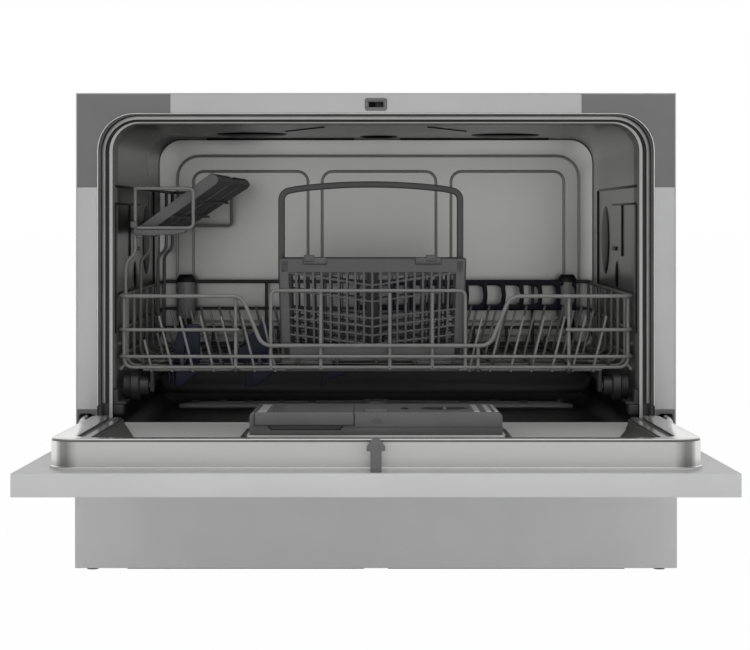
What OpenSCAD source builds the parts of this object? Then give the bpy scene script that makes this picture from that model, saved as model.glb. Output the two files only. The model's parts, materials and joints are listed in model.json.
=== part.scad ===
// Countertop dishwasher with a drop-down door, a wheeled dish rack, a cutlery basket and a cup shelf.
// X runs to the right, Y into the cabinet and Z up from the worktop. All sizes are in millimetres.

/* [Cabinet] */
// Width of the cabinet and of its door
cabinet_w = 550; // [500:1:620]
// Depth of the cabinet behind its front plane
cabinet_d = 480; // [475:1:540]
// Height of the cabinet top above the worktop
cabinet_h = 438; // [430:1:480]
// Thickness of the sheet casing
casing_t = 1; // [0.8:0.1:1.6]
// Width of the casing's rear flange
casing_flange = 14; // [10:1:20]
// Height of the casing's lower edge above the worktop
foot_gap = 3.5; // [2:0.5:5]
// Width of the front frame's face at each side
frame_side = 19.3; // [17:0.1:24]
// Height of the front frame's face at the top
frame_top = 18.4; // [17:0.1:24]
// Thickness of the front frame's face
frame_t = 2; // [1.5:0.1:3]
// Radius of the front opening's upper corners
opening_r = 34; // [30:1:50]
// Thickness of the lip that runs from the frame back to the tub
lip_t = 1.2; // [0.8:0.1:1.6]
// Length of each leg of the dark corner trims
trim_len = 86.5; // [60:0.5:120]
// Width of the slot for the door hook
latch_slot_w = 20.6; // [16:0.1:26]
// Height of the slot for the door hook
latch_slot_h = 11.6; // [10:0.1:12]

/* [Base] */
// Height of the kick plate's upper edge
kick_top = 102; // [90:0.5:103]
// Distance that the kick plate stands proud of the frame
kick_proud = 6.5; // [4:0.5:9]
// Thickness of the kick plate
kick_t = 2; // [1.5:0.1:3]
// Thickness of the base tray
tray_t = 2; // [1.5:0.1:3]
// Height of the base tray's walls
tray_wall = 30; // [20:1:40]
// Radius of a levelling foot
foot_r = 6; // [5:0.5:9]
// Radius of a levelling foot's stud
stud_r = 3; // [2:0.5:4]
// Distance from the cabinet's side to a foot's axis
foot_inset = 14; // [12:1:20]
// Distance from the front plane to the front feet
foot_front = 12; // [10:1:40]
// Distance from the cabinet's back to the rear feet
foot_rear = 45; // [40:1:70]

/* [Tub] */
// Distance from the front plane to the tub's mouth
mouth_y = 24; // [23:0.5:30]
// Step from the frame opening in to the tub's side walls
mouth_step = 9.7; // [8:0.1:12]
// Step from the frame opening down to the tub's ceiling
mouth_drop = 7.1; // [5.5:0.1:10]
// Inside depth of the tub from its mouth to its back wall
tub_depth = 416; // [400:1:430]
// Height of the tub's floor
tub_floor_z = 112; // [108:0.5:116]
// Sheet thickness of the tub
tub_t = 1; // [0.8:0.1:1.4]
// Radius of the tub's upper corners
tub_top_r = 27; // [20:1:34]
// Radius of the tub's lower corners
tub_floor_r = 20; // [12:1:26]
// Distance from the front plane to the sill
sill_y = 18; // [17.5:0.5:20]
// Height of the sill above the tub's floor
sill_rise = 6; // [3:0.5:10]
// Thickness of the sill's rubber seal
sill_seal_t = 1; // [0.6:0.1:1.2]
// Length of the gasket along the mouth's channel
gasket_w = 14; // [8:0.5:18]
// Clearance between the gasket and the closed door's pan
gasket_gap = 0.4; // [0.3:0.1:1]

/* [Door] */
// Thickness of the door's outer panel
door_t = 18; // [16:0.5:22]
// Gap between the closed door's outer panel and the front frame
door_gap = 2; // [1.5:0.5:4]
// Height of the hinge axis
pivot_z = 114; // [112:0.5:118]
// Distance from the hinge axis down to the panel's lower edge
pivot_drop = 5; // [4:0.5:6]
// Distance from the cabinet's top down to the closed door's top
door_top_gap = 1; // [0:0.5:3]
// Angle that the door opens from upright
door_open_deg = 88.5; // [80:0.5:90]
// Sheet thickness of the door's outer panel
panel_t = 1.2; // [0.8:0.1:2]
// Sheet thickness of the door's pan
pan_t = 1; // [0.8:0.1:1.4]
// Gap between the frame opening and the pan at each side
pan_side_gap = 7.7; // [7:0.1:10]
// Gap between the frame opening and the pan at the top
pan_top_gap = 6.6; // [5.5:0.1:9]
// Depth from the front plane to the pan's raised rim
rim_y = 22; // [20:0.5:22.5]
// Width of the pan's raised rim
rim_w = 16.5; // [14:0.5:20]
// Depth from the front plane to the pan's floor
pan_y = 10; // [8:0.5:12]
// Radius of the pan's upper corners
pan_r = 24; // [18:1:30]
// Distance that the pan's floor runs below the hinge axis
pan_tail = 17; // [12:0.5:18]
// Height above the hinge axis at which the side rims start
rim_foot = 12; // [8:0.5:30]
// Rise of the pressed plateau that carries the dispenser
plateau_h = 4; // [2:0.5:6]

/* [Hinges and latch] */
// Thickness of a hinge bracket
bracket_t = 4; // [3:0.5:5]
// Radius of a hinge pin
pin_r = 3; // [2.5:0.5:3.5]
// Running clearance between the pin and the door arm's eye
pin_gap = 0.05; // [0.02:0.01:0.1]
// Thickness of a door arm
arm_t = 5; // [4:0.5:6]
// Side clearance between a bracket and its door arm
arm_gap = 1; // [0.5:0.1:1.5]
// Radius to the middle of the curved horn on the door arm
horn_r = 23; // [22:0.5:24]
// Width of the curved horn
horn_w = 6; // [4:0.5:7]
// Width of the door hook's head
hook_head_w = 11.3; // [9:0.1:12]
// Width of the door hook's stem
hook_stem_w = 5.2; // [4:0.1:7]
// Thickness of the door hook
hook_t = 4; // [3:0.5:5]
// Length of the door hook
hook_len = 25; // [20:0.5:28]

/* [Controls] */
// Width of the control fascia
fascia_w = 300; // [240:1:400]
// Height of the control fascia
fascia_h = 38; // [30:1:44]
// Distance from the door's top to the fascia
fascia_drop = 13; // [8:1:20]
// Radius of a control button
button_r = 6; // [4:0.5:8]
// Distance between neighbouring buttons
button_pitch = 28; // [20:1:36]
// Distance that a button stands proud of the fascia
button_proud = 0.8; // [0.5:0.1:1]
// Travel of a button
button_travel = 1.5; // [1:0.1:1.6]
// Width of the display window
window_w = 76; // [50:1:100]
// Height of the display window
window_h = 20; // [14:1:24]
// Width of the grip recess
grip_w = 130; // [100:1:160]
// Height of the grip recess
grip_h = 34; // [26:1:40]
// Depth of the grip recess
grip_depth = 14; // [10:0.5:15]

/* [Dispenser] */
// Width of the detergent dispenser
disp_w = 210; // [200:1:230]
// Length of the detergent dispenser along the door
disp_len = 106; // [100:1:120]
// Height from the hinge axis to the dispenser's lower edge on the closed door
disp_start = 60; // [50:1:70]
// Distance from the front plane to the dispenser's face
disp_face_y = 33; // [30:0.5:34]
// Width of the detergent lid
lid_w = 82; // [70:1:86]
// Thickness of the detergent lid
lid_t = 3; // [2:0.1:4]
// Radius of the rinse-aid cap
cap_r = 20.5; // [16:0.5:22]
// Distance from the dispenser's middle to the rinse-aid cap
cap_x = 58; // [54:1:64]
// Travel of the lid's catch
catch_travel = 2; // [1.5:0.1:2.4]

/* [Washing parts] */
// Distance from the front plane to the spray arm's axis
spray_y = 232; // [226:1:238]
// Radius that the spray arm sweeps
spray_r = 206; // [160:1:207]
// Width of the spray arm
spray_w = 34; // [26:1:44]
// Thickness of the spray arm
spray_t = 9; // [6:0.5:12]
// Height of the spray arm above the tub's floor
spray_rise = 15; // [12:0.5:18]
// Radius of the sump
sump_r = 60; // [56:1:70]
// Depth of the sump below the tub's floor
sump_depth = 50; // [46:1:56]
// Radius of the filter cup
filter_r = 20; // [16:1:21]
// Radius of the water inlet's threaded spigot
inlet_r = 13.2; // [12:0.1:14]
// Radius of the drain spigot
drain_r = 9; // [8:0.5:11]
// Depth of the recess for the rear fittings
rear_recess = 23; // [20:1:26]

/* [Rack] */
// Radius of the rack's rim wires
rim_wire_r = 2; // [1.5:0.1:2.4]
// Radius of the rack's lighter wires
wire_r = 1.7; // [1.2:0.1:2]
// Distance between the tub's side wall and the rack's side wires
rack_side_gap = 8; // [7:0.5:12]
// Distance from the tub's mouth to the rack's front wires
rack_front_gap = 21; // [20:1:30]
// Distance from the rack's back wires to the tub's back wall
rack_back_gap = 25; // [20:1:40]
// Height of the rack's rim above its floor
rack_rim = 67; // [60:1:74]
// Height of the lowered middle of the front rim above the floor
rack_dip = 20.5; // [18:0.5:24]
// Half width of the lowered middle of the front rim
dip_half = 107; // [100:1:112]
// Width of each slope beside the lowered middle
dip_slope = 19; // [14:1:22]
// Distance between neighbouring tines
tine_pitch = 19.4; // [18:0.1:20]
// Number of tines in a row
tine_count = 7; // [3:1:7]
// Number of tine rows on each side
tine_rows_n = 3; // [1:1:4]
// Distance between neighbouring tine rows
tine_row_pitch = 113; // [90:1:116]
// Height of a tine
tine_h = 49; // [30:1:56]
// Sideways lean of a tine's tip
tine_lean = 12; // [0:1:15]
// Radius of a wheel's tread
wheel_r = 12; // [10:0.5:13]
// Height of a wheel's flange above its tread
flange_h = 1.5; // [1:0.1:2]
// Radius of a wheel's axle
axle_r = 3; // [2.5:0.5:4]
// Height of the wheel guides above the tub's floor
guide_rise = 40.7; // [38:0.1:44]

/* [Cutlery basket and cup shelf] */
// Width of the cutlery basket
basket_w = 178; // [150:1:180]
// Depth of the cutlery basket from front to back
basket_d = 74; // [60:1:90]
// Height of the cutlery basket
basket_h = 100; // [80:1:104]
// Wall thickness of the cutlery basket
basket_t = 2; // [1.5:0.1:3]
// Height of the basket's handle above its rim
handle_h = 73; // [60:1:76]
// Thickness of the handle's bar
handle_t = 5; // [4:0.5:7]
// Width of the handle's bar
handle_w = 12; // [8:1:16]
// Length of the cup shelf from its hinge
shelf_len = 95; // [80:1:98]
// Extent of the cup shelf from front to back
shelf_w = 290; // [280:1:300]
// Thickness of the cup shelf
shelf_t = 2.4; // [2:0.1:4]
// Angle of the cup shelf above level
shelf_tilt = 32; // [0:1:70]
// Height of the cup shelf's hinge above the rack's floor
shelf_rise = 129; // [120:1:132]
// Height of the cup comb's arches
comb_h = 34; // [26:1:38]
// Distance between neighbouring arches of the cup comb
comb_pitch = 20.5; // [18:0.5:24]

/* [Hidden] */

$fn = 48;
seat = 0.3;                  // clearance of a loosely seated piece
snug = 0.1;                  // clearance of a fixed piece beside its neighbour
cut = 1;                     // overrun of a cutting shape

// Colours
silver = "#ababac";
steel = "#8c8c8c";
dark = "#3c3c3e";
rubber = "#2a2a2a";
plastic = "#4a4a4c";
navy = "#1a1921";
wire_grey = "#8a8a88";

// Cabinet
half_w = cabinet_w / 2;
inner_half = half_w - casing_t;
inner_top = cabinet_h - casing_t;
open_half = half_w - frame_side;
open_top = cabinet_h - frame_top;
lip_half = open_half + lip_t;
lip_top = open_top + lip_t;
trim_half = half_w - trim_len;
trim_low = cabinet_h - trim_len;
cover_top = 148;             // where the dark hinge covers meet the light frame
latch_z = (open_top + inner_top) / 2 - 0.8;

// Tub
tub_half = open_half - mouth_step;
tub_top = open_top - mouth_drop;
tub_back = mouth_y + tub_depth;
sill_top = tub_floor_z + sill_rise;

// Rear
rear_y = cabinet_d - 5;
rear_t = 1;
recess_y = rear_y - rear_recess;
recess_low = 22;
recess_top = 92;
recess_left = 40 - half_w;
recess_right = 90;
rear_fit_z = 55;
fit_collar = 1.2;            // how much wider a fitting is where it passes the panel
fit_collar_y = recess_y + 1.5;
fit_relief = 0.8;            // depth of the groove behind a fitting's free end
fit_end_y0 = fit_collar_y + 1.5;
fit_end_y1 = rear_y - 1;
inlet_x = 34;
drain_x = -100;
gland_x = 75 - half_w;
gland_r = 9;
gland_bore_r = 4.2;
screw_r = 2;
screw_head_r = 4;
screw_head_h = 2.2;
screw_len = 11;
screw_edge = casing_flange / 2;

// Base
tray_floor = foot_gap + 2;
tray_top = tray_floor + tray_t;
tray_half = inner_half - seat;
tray_front = 2;
tray_back = recess_y - rear_t - snug;
skid_half = 228;
skid_inner = 11;
boss_h = 14;
boss_r = foot_r + 1;

// Door, drawn closed and then turned open about the hinge axis
door_inner_y = -door_gap;
door_outer_y = -door_gap - door_t;
pivot_y = -door_gap - door_t / 2;
door_low = pivot_z - pivot_drop;
door_high = cabinet_h - door_top_gap;
pan_half = open_half - pan_side_gap;
pan_top = open_top - pan_top_gap;
pan_low = pivot_z - pan_tail;
rim_low = pivot_z + rim_foot;
door_reach = door_high - pivot_z;
near_y = pivot_y - door_reach * sin(door_open_deg) - door_t / 2 * cos(door_open_deg);
frame_y = -(near_y + cabinet_d) / 2;

// Latch
latch_box_half = latch_slot_w / 2 + 5;
latch_box_len = hook_len + 12;
hook_y1 = door_inner_y + hook_len;

// Hinges
bracket_x = lip_half + snug;
bracket_len = 36;
arm_x = bracket_x + bracket_t + arm_gap;
pin_end = arm_x + arm_t + 1.5;
eye_r = pin_r + 3.5;
arm_len = 60;
arm_y0 = door_outer_y + panel_t + snug;
arm_y1 = door_inner_y - panel_t - snug;
notch_x = bracket_x - 1;
notch_end = pin_end + 1;
notch_top = pivot_z + horn_r + horn_w / 2 + 3;
slot_low = pivot_z - 10;
slot_high = notch_top;

// Controls
fascia_top = door_high - fascia_drop;
fascia_low = fascia_top - fascia_h;
fascia_mid = (fascia_top + fascia_low) / 2;
fascia_t = 3;
board_y = door_outer_y + fascia_t + 6;
board_t = 1.6;
button_x0 = window_w / 2 + 17;
button_xs = [-button_x0 - button_pitch, -button_x0, button_x0, button_x0 + button_pitch];
button_hole = button_r + 0.2;
button_len = button_proud + board_y - door_outer_y - button_travel - seat;
grip_top = fascia_low - 12;
grip_low = grip_top - grip_h;
grip_t = 1.5;

// Dispenser
disp_low = pivot_z + disp_start;
disp_high = disp_low + disp_len;
disp_half = disp_w / 2;
plateau_y = pan_y + plateau_h;
plateau_edge = 9;
disp_neck = 5;
disp_back_y = -12;
lid_x1 = -18.5;
lid_x0 = lid_x1 - lid_w;
lid_y = disp_face_y - lid_t;
lid_z0 = disp_low + 8;
lid_skirt = 14;
cup_wall = 6;
cup_y = 2;
cup_z0 = lid_z0 + 8;
cup_z1 = disp_high - 18;
catch_half = 9.5;
catch_z0 = disp_high - 32;
catch_z1 = disp_high - 9;
catch_depth = 7;
catch_proud = 1.5;
cap_z = disp_low + 57;
cap_h = 2.7;
cap_stem_r = 12;
cap_stem_h = 12;
cap_gap = 0.05;
cap_bar_h = 2;
cap_bar_w = 3;

// Washing parts
spray_z = tub_floor_z + spray_rise;
hub_r = 17;
hub_h = 4;
post_r = 10;
post_tip_r = 8;
post_gap = 0.05;
post_bore_r = 6;
tip_h = 9;
sump_t = 3;
sump_floor = tub_floor_z - tub_t - sump_depth;
sump_flange = 6;
port_r = 11;
sump_port_z = sump_floor + port_r + 3;
port_bore_r = 8;
port_x = sump_r + 12;
filter_y = spray_y - post_r - filter_r - 4;
filter_t = 1.5;
plate_r = sump_r + 8;
pump_r = 30;
pump_len = 84;
drain_pump_r = 25;
drain_pump_len = 52;
pump_gap = 0.2;
heater_r = 20;
heater_len = 110;
heater_x = port_x + pump_len / 2;
hose_r = 9;
hose_t = 2;
inlet_port_y = spray_y + sump_r + 8;
drain_hose_y0 = spray_y + drain_pump_r + 3;
drain_tail_y = recess_y - rear_t - 16;
valve_len = 48;

// Rack
rack_half = tub_half - rack_side_gap;
rack_y0 = mouth_y + rack_front_gap;
rack_y1 = tub_back - rack_back_gap;
guide_top = tub_floor_z + guide_rise;
guide_t = 3;
axle_z = guide_top + seat + wheel_r;
floor_z = axle_z + 18;
cross_z = floor_z - 2 * wire_r - snug;
wheel_x1 = tub_half - 7.5;
tread_w = 7;
flange_w = 8;
inner_w = 9;
wheel_w = tread_w + flange_w + inner_w;
wheel_x0 = wheel_x1 - wheel_w;
wheel_inner_r = wheel_r - 2;
axle_gap = 0.05;
wheel_y0 = rack_y0 + 16;
wheel_y1 = rack_y1 - 22;
bracket_w = 12;
plane_step = rim_wire_r + wire_r + snug;
inner_y = rack_y0 + plane_step;
low_rail = 10.3;
mid_rail = 35.4;
wall_start = 28;
wall_pitch = 44;
floor_pitch = 34;
floor_xs = [-6 * floor_pitch:floor_pitch:6 * floor_pitch];
long_y0 = rack_y0 + wire_r + snug;
long_y1 = rack_y1 - wire_r - snug;
foot_z = floor_z + wire_r + snug;
tine_r = 1.6;
tine_y0 = rack_y0 + plane_step + wire_r + tine_r + snug;
tine_edge = 11;
loop_x0 = -99;
loop_x1 = 84;
loop_rise = 72;
loop_bar_xs = [-52, 13, 53];
back_bar_xs = [-123, 0, 176];
back_rail_rises = [17, 39];
clip_x0 = -185;
clip_y = rack_y0 + 24;
clip_t = 4;
clip_pitch = 72;
clip_drop = 14;
clip_len = 26;
clip_top = floor_z + wire_r - snug;
clip_post_w = 12;
clip_rise = 30;
comb_x0 = -22;
comb_z0 = floor_z + rack_rim + 4 - comb_h;
comb_y1 = rack_y1 - rim_wire_r - snug;
comb_t = 4;
comb_count = 12;
comb_post = 6;
comb_band = 7;

// Cup shelf and its wires
post_x = -(rack_half - 10);
post_low_x = -(rack_half - plane_step);
kink_low = 99;
kink_high = 107;
post_top = 168.5;
post_ys = [wheel_y0, wheel_y0 + 126, wheel_y0 + 285, rack_y1 - 4];
rail_x = post_x + 2 * wire_r + snug;
shelf_z = floor_z + shelf_rise;
shelf_y0 = rack_y0 + 30;
knuckle_r = wire_r + 2.4;
knuckle_gap = 0.05;
knuckle_w = 24;
knuckle_ys = [shelf_y0 + 6, shelf_y0 + 134, shelf_y0 + 220];
loop_len = 55;

// Cutlery basket
basket_x0 = -(basket_w / 2 + 3.5);
basket_y0 = inner_y + wire_r + 5.5;
basket_z = floor_z + wire_r + seat;
basket_top = basket_z + basket_h;

// ---- Helpers ----

// A flat outline in X and Z, drawn thick from y0 to y1
module along_y(y0, y1) translate([0, y1, 0]) rotate([90, 0, 0]) linear_extrude(y1 - y0) children();

// A flat outline in Y and Z, drawn thick from x0 to x1
module along_x(x0, x1) translate([x0, 0, 0]) rotate([90, 0, 90]) linear_extrude(x1 - x0) children();

module box(x0, x1, y0, y1, z0, z1) translate([x0, y0, z0]) cube([x1 - x0, y1 - y0, z1 - z0]);

module rod_x(r, x0, x1, y, z) translate([x0, y, z]) rotate([0, 90, 0]) cylinder(r = r, h = x1 - x0);

module rod_y(r, y0, y1, x, z) translate([x, y1, z]) rotate([90, 0, 0]) cylinder(r = r, h = y1 - y0);

module rod_z(r, z0, z1, x, y) translate([x, y, z0]) cylinder(r = r, h = z1 - z0);

module both_sides() {
    children();
    mirror([1, 0, 0]) children();
}

// An upright rectangle with rounded upper corners
module arch(half, low, top, r) {
    translate([-half, low]) square([2 * half, top - r - low]);
    translate([-half + r, low]) square([2 * (half - r), top - low]);
    for (s = [-1, 1]) translate([s * (half - r), top - r]) circle(r);
}

// A rectangle with its upper and lower corners rounded
module tub_shape(half, low, top, r_top, r_low) {
    difference() {
        arch(half, low, top, r_top);
        for (s = [-1, 1]) translate([s * half - (s > 0 ? r_low : 0), low]) square(r_low);
    }
    for (s = [-1, 1]) translate([s * (half - r_low), low + r_low]) circle(r_low);
}

// Half the change of direction at point b
function half_bend(a, b, c) = acos(max(-1, min(1, (b - a) * (c - b) / (norm(b - a) * norm(c - b))))) / 2;

// A straight round bar from point a to point b, shortened at each end
module bar(a, b, r, trim_a = 0, trim_b = 0) {
    run = b - a;
    dir = run / norm(run);
    translate(a + dir * trim_a)
        rotate([0, acos(dir.z), atan2(dir.y, dir.x)])
            cylinder(r = r, h = norm(run) - trim_a - trim_b, $fn = 24);
}

// A bent wire: straight bars that meet at each bend without overlapping
module wire(points, r) {
    last = len(points) - 1;
    trims = [for (i = [0:last]) i == 0 || i == last ? 0
        : r * tan(half_bend(points[i - 1], points[i], points[i + 1])) + snug / 2];
    for (i = [0:last - 1]) bar(points[i], points[i + 1], r, trims[i], trims[i + 1]);
}

// Moves a piece from cabinet coordinates into the part's own frame
module placed() translate([0, frame_y, 0]) children();

// Turns the closed door, and what it carries, open about the hinge axis
module door_pose() placed() translate([0, pivot_y, pivot_z]) rotate([door_open_deg, 0, 0])
    translate([0, -pivot_y, -pivot_z]) children();

// ---- Cabinet ----

module outer_casing() color(silver) placed() {
    difference() {
        union() {
            along_y(0, cabinet_d) difference() {
                translate([-half_w, foot_gap]) square([cabinet_w, cabinet_h - foot_gap]);
                translate([-inner_half, foot_gap - cut]) square([2 * inner_half, inner_top - foot_gap + cut]);
            }
            along_y(rear_y - casing_t, rear_y) difference() {
                translate([-inner_half - casing_t / 2, foot_gap])
                    square([2 * inner_half + casing_t, inner_top + casing_t / 2 - foot_gap]);
                translate([-inner_half + casing_flange, foot_gap - cut])
                    square([2 * (inner_half - casing_flange), inner_top - casing_flange - foot_gap + cut]);
            }
        }
        screw_places() rod_y(screw_r + pin_gap, rear_y - screw_len, rear_y + cut, 0, 0);
    }
}

// The front frame's face before it is shared between the light frame and the dark trims
module frame_face() {
    difference() {
        translate([-inner_half, cover_top]) square([2 * inner_half, inner_top - cover_top]);
        arch(open_half, cover_top - cut, open_top, opening_r);
    }
}

module trim_zone() {
    for (s = [-1, 1]) translate([s > 0 ? trim_half : -half_w, trim_low]) square(trim_len);
}

module latch_slot() {
    translate([-latch_slot_w / 2, latch_z - latch_slot_h / 2]) square([latch_slot_w, latch_slot_h]);
}

module front_frame() color(silver) placed() {
    along_y(0, frame_t) difference() {
        frame_face();
        trim_zone();
        latch_slot();
    }
    along_y(frame_t, mouth_y + tub_t) difference() {
        arch(lip_half, sill_top, lip_top, opening_r + lip_t);
        arch(open_half, sill_top - cut, open_top, opening_r);
    }
}

module corner_trims() color(dark) placed() along_y(0, frame_t) intersection() {
    frame_face();
    trim_zone();
}

module kick_plate() color(silver) placed() {
    box(-half_w, half_w, -kick_proud, -kick_proud + kick_t, foot_gap, kick_top);
    both_sides() box(half_w - kick_t, half_w, -kick_proud, 0, foot_gap, kick_top);
    box(-inner_half + snug, inner_half - snug, -kick_proud, tray_front, kick_top - kick_t, kick_top);
    box(-half_w + kick_t, half_w - kick_t, -kick_proud, tray_front, tray_floor, tray_floor + kick_t);
}

module foot_places() {
    for (x = [-half_w + foot_inset, half_w - foot_inset], y = [foot_front, cabinet_d - foot_rear])
        translate([x, y, 0]) children();
}

module base_tray() color(dark) placed() {
    difference() {
        union() {
            box(-tray_half, tray_half, tray_front, tray_back, tray_floor, tray_floor + tray_wall);
            foot_places() rod_z(boss_r, tray_floor, tray_floor + boss_h, 0, 0);
        }
        difference() {
            box(-tray_half + tray_t, tray_half - tray_t, tray_front + tray_t, tray_back - tray_t,
                tray_top, tray_floor + tray_wall + cut);
            foot_places() rod_z(boss_r, tray_floor, tray_floor + boss_h, 0, 0);
        }
        foot_places() rod_z(stud_r + snug, tray_floor - cut, tray_floor + boss_h + cut, 0, 0);
    }
    both_sides() box(skid_inner, skid_half, tray_front, tray_front + 2 * tray_t, foot_gap - 2, tray_floor);
}

module levelling_feet() color(dark) placed() foot_places() {
    rod_z(foot_r, 0, tray_floor - snug, 0, 0);
    rod_z(stud_r, tray_floor - snug, tray_floor + boss_h, 0, 0);
}

// Screw axes around the rear panel, as shapes along Y at each place
module screw_places() {
    for (x = [-1, 1], z = [60, 180, 300]) translate([x * (inner_half - screw_edge), 0, z]) children();
    for (x = [-150, 0, 150]) translate([x, 0, inner_top - screw_edge]) children();
}

module rear_panel() color(steel) placed() difference() {
    union() {
        box(-inner_half + snug, inner_half - snug, rear_y, rear_y + rear_t, tray_floor, inner_top - snug);
        box(recess_left - rear_t, recess_right + rear_t, recess_y - rear_t, rear_y,
            recess_low - rear_t, recess_top + rear_t);
    }
    box(recess_left, recess_right, recess_y, rear_y + rear_t + cut, recess_low, recess_top);
    rod_y(inlet_r + fit_collar + snug, recess_y - 2 * rear_t, recess_y + cut, inlet_x, rear_fit_z);
    rod_y(drain_r + fit_collar + snug, recess_y - 2 * rear_t, recess_y + cut, drain_x, rear_fit_z);
    rod_y(gland_r + snug, recess_y - 2 * rear_t, recess_y + cut, gland_x, rear_fit_z);
    screw_places() rod_y(screw_r + pin_gap, rear_y - cut, rear_y + rear_t + cut, 0, 0);
}

module rear_screws() color(steel) placed() screw_places() {
    rod_y(screw_r, rear_y + rear_t - screw_len, rear_y + rear_t, 0, 0);
    rod_y(screw_head_r, rear_y + rear_t, rear_y + rear_t + screw_head_h, 0, 0);
}

module tub() color(steel) placed() {
    difference() {
        union() {
            along_y(mouth_y, tub_back + tub_t)
                tub_shape(tub_half + tub_t, tub_floor_z - tub_t, tub_top + tub_t,
                    tub_top_r + tub_t, tub_floor_r + tub_t);
            along_y(mouth_y, mouth_y + tub_t)
                arch(open_half - snug, sill_top, open_top - snug, opening_r - snug);
        }
        along_y(mouth_y - cut, tub_back) tub_shape(tub_half, tub_floor_z, tub_top, tub_top_r, tub_floor_r);
        rod_z(sump_r, tub_floor_z - 2 * tub_t, tub_floor_z + cut, 0, spray_y);
    }
    along_x(-tub_half + tub_floor_r, tub_half - tub_floor_r) {
        translate([sill_y, tub_floor_z - tub_t]) square([mouth_y - sill_y, tub_t]);
        translate([sill_y, pan_low]) square([tub_t, sill_top - pan_low]);
    }
}

module tub_gasket() color(rubber) placed() {
    along_y(mouth_y - gasket_w, mouth_y) difference() {
        arch(open_half - snug, sill_top, open_top - snug, opening_r - snug);
        arch(pan_half + gasket_gap, sill_top - cut, pan_top + 4 * gasket_gap, pan_r + gasket_gap);
    }
    along_x(-tub_half + tub_floor_r, tub_half - tub_floor_r)
        translate([sill_y - sill_seal_t, pan_low]) square([sill_seal_t, sill_top - pan_low]);
}

module hinge_covers() color(plastic) placed() both_sides() difference() {
    union() {
        box(open_half, inner_half, 0, frame_t, kick_top + snug, cover_top);
        box(open_half, inner_half, frame_t, mouth_y, kick_top + snug, kick_top + frame_t);
    }
    box(notch_x, notch_end, -cut, frame_t + cut, slot_low, slot_high);
}

module hinge_brackets() color(steel) placed() both_sides() {
    along_x(bracket_x, bracket_x + bracket_t) {
        translate([pivot_y, pivot_z]) circle(eye_r);
        translate([pivot_y, pivot_z - eye_r]) square([mouth_y + bracket_len - pivot_y, 2 * eye_r]);
        translate([mouth_y, kick_top + frame_t + snug]) square([bracket_len, cover_top - kick_top]);
    }
    rod_x(pin_r, bracket_x + bracket_t, pin_end, pivot_y, pivot_z);
}

module latch_housing() color(dark) placed() difference() {
    box(-latch_box_half, latch_box_half, frame_t, frame_t + latch_box_len, lip_top + snug, inner_top - snug);
    along_y(frame_t - cut, frame_t + latch_box_len - 2) latch_slot();
}

module latch_catch() color(plastic) placed() both_sides()
    box(hook_head_w / 2 + 2 * seat, latch_slot_w / 2 - snug, 8, hook_len - 2,
        latch_z - latch_slot_h / 2 + snug, latch_z + latch_slot_h / 2 - snug);

module rack_guides() color(plastic) placed() both_sides() {
    along_x(wheel_x1 - tread_w + 1, tub_half)
        translate([mouth_y + 2, guide_top - guide_t]) square([tub_depth - 14, guide_t]);
    box(wheel_x1 + 1.5, tub_half, mouth_y + 2, mouth_y + 20, guide_top, guide_top + 11);
}

// ---- Washing parts in the base ----

module sump() color(plastic) placed() difference() {
    union() {
        rod_z(sump_r + sump_t, sump_floor - sump_t, tub_floor_z - tub_t, 0, spray_y);
        rod_z(sump_r + sump_t + sump_flange, tub_floor_z - tub_t - sump_t, tub_floor_z - tub_t, 0, spray_y);
        rod_x(port_r, -port_x, port_x, spray_y, sump_port_z);
        rod_y(port_r, spray_y, inlet_port_y, inlet_x, sump_port_z);
    }
    rod_z(sump_r, sump_floor, tub_floor_z, 0, spray_y);
    rod_x(port_bore_r, -port_x - cut, port_x + cut, spray_y, sump_port_z);
    rod_y(port_bore_r, spray_y, inlet_port_y + cut, inlet_x, sump_port_z);
}

module filter_cup() color(dark) placed() difference() {
    rod_z(filter_r, sump_floor + seat, tub_floor_z + 5, 0, filter_y);
    rod_z(filter_r - filter_t, sump_floor + seat + filter_t, tub_floor_z + 6, 0, filter_y);
}

module filter_plate() color(steel) placed() difference() {
    rod_z(plate_r, tub_floor_z + snug, tub_floor_z + snug + filter_t, 0, spray_y);
    rod_z(filter_r + snug, tub_floor_z - cut, tub_floor_z + 4, 0, filter_y);
    rod_z(post_r + snug, tub_floor_z - cut, tub_floor_z + 4, 0, spray_y);
}

module spray_post() color(dark) placed() difference() {
    union() {
        rod_z(post_r, sump_floor, spray_z - seat, 0, spray_y);
        rod_z(post_tip_r, spray_z - seat, spray_z + tip_h, 0, spray_y);
    }
    rod_z(post_bore_r, sump_floor - cut, spray_z + tip_h + cut, 0, spray_y);
}

module spray_arm() color(plastic) placed() difference() {
    union() {
        rod_z(hub_r, spray_z, spray_z + spray_t + hub_h, 0, spray_y);
        translate([0, spray_y, spray_z]) linear_extrude(spray_t) {
            translate([-spray_r + spray_w / 2, -spray_w / 2]) square([2 * spray_r - spray_w, spray_w]);
            for (s = [-1, 1]) translate([s * (spray_r - spray_w / 2), 0]) circle(spray_w / 2);
        }
    }
    rod_z(post_tip_r + post_gap, spray_z - cut, spray_z + tip_h + seat, 0, spray_y);
}

module wash_pump() color(plastic) placed() {
    rod_x(pump_r, port_x + pump_gap, port_x + pump_len, spray_y, sump_port_z);
    box(port_x + 20, port_x + 60, spray_y - 14, spray_y + 14, tray_top, sump_port_z);
    rod_y(heater_r - 5, spray_y, spray_y + pump_r + 4, heater_x, sump_port_z);
}

module drain_pump() color(plastic) placed() {
    rod_x(drain_pump_r, -port_x - drain_pump_len, -port_x - pump_gap, spray_y, sump_port_z);
    box(-port_x - 40, -port_x - 15, spray_y - 10, spray_y + 10, tray_top, sump_port_z);
    rod_y(hose_r - hose_t - snug, spray_y, drain_hose_y0 + 12, drain_x, sump_port_z - 5);
}

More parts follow.
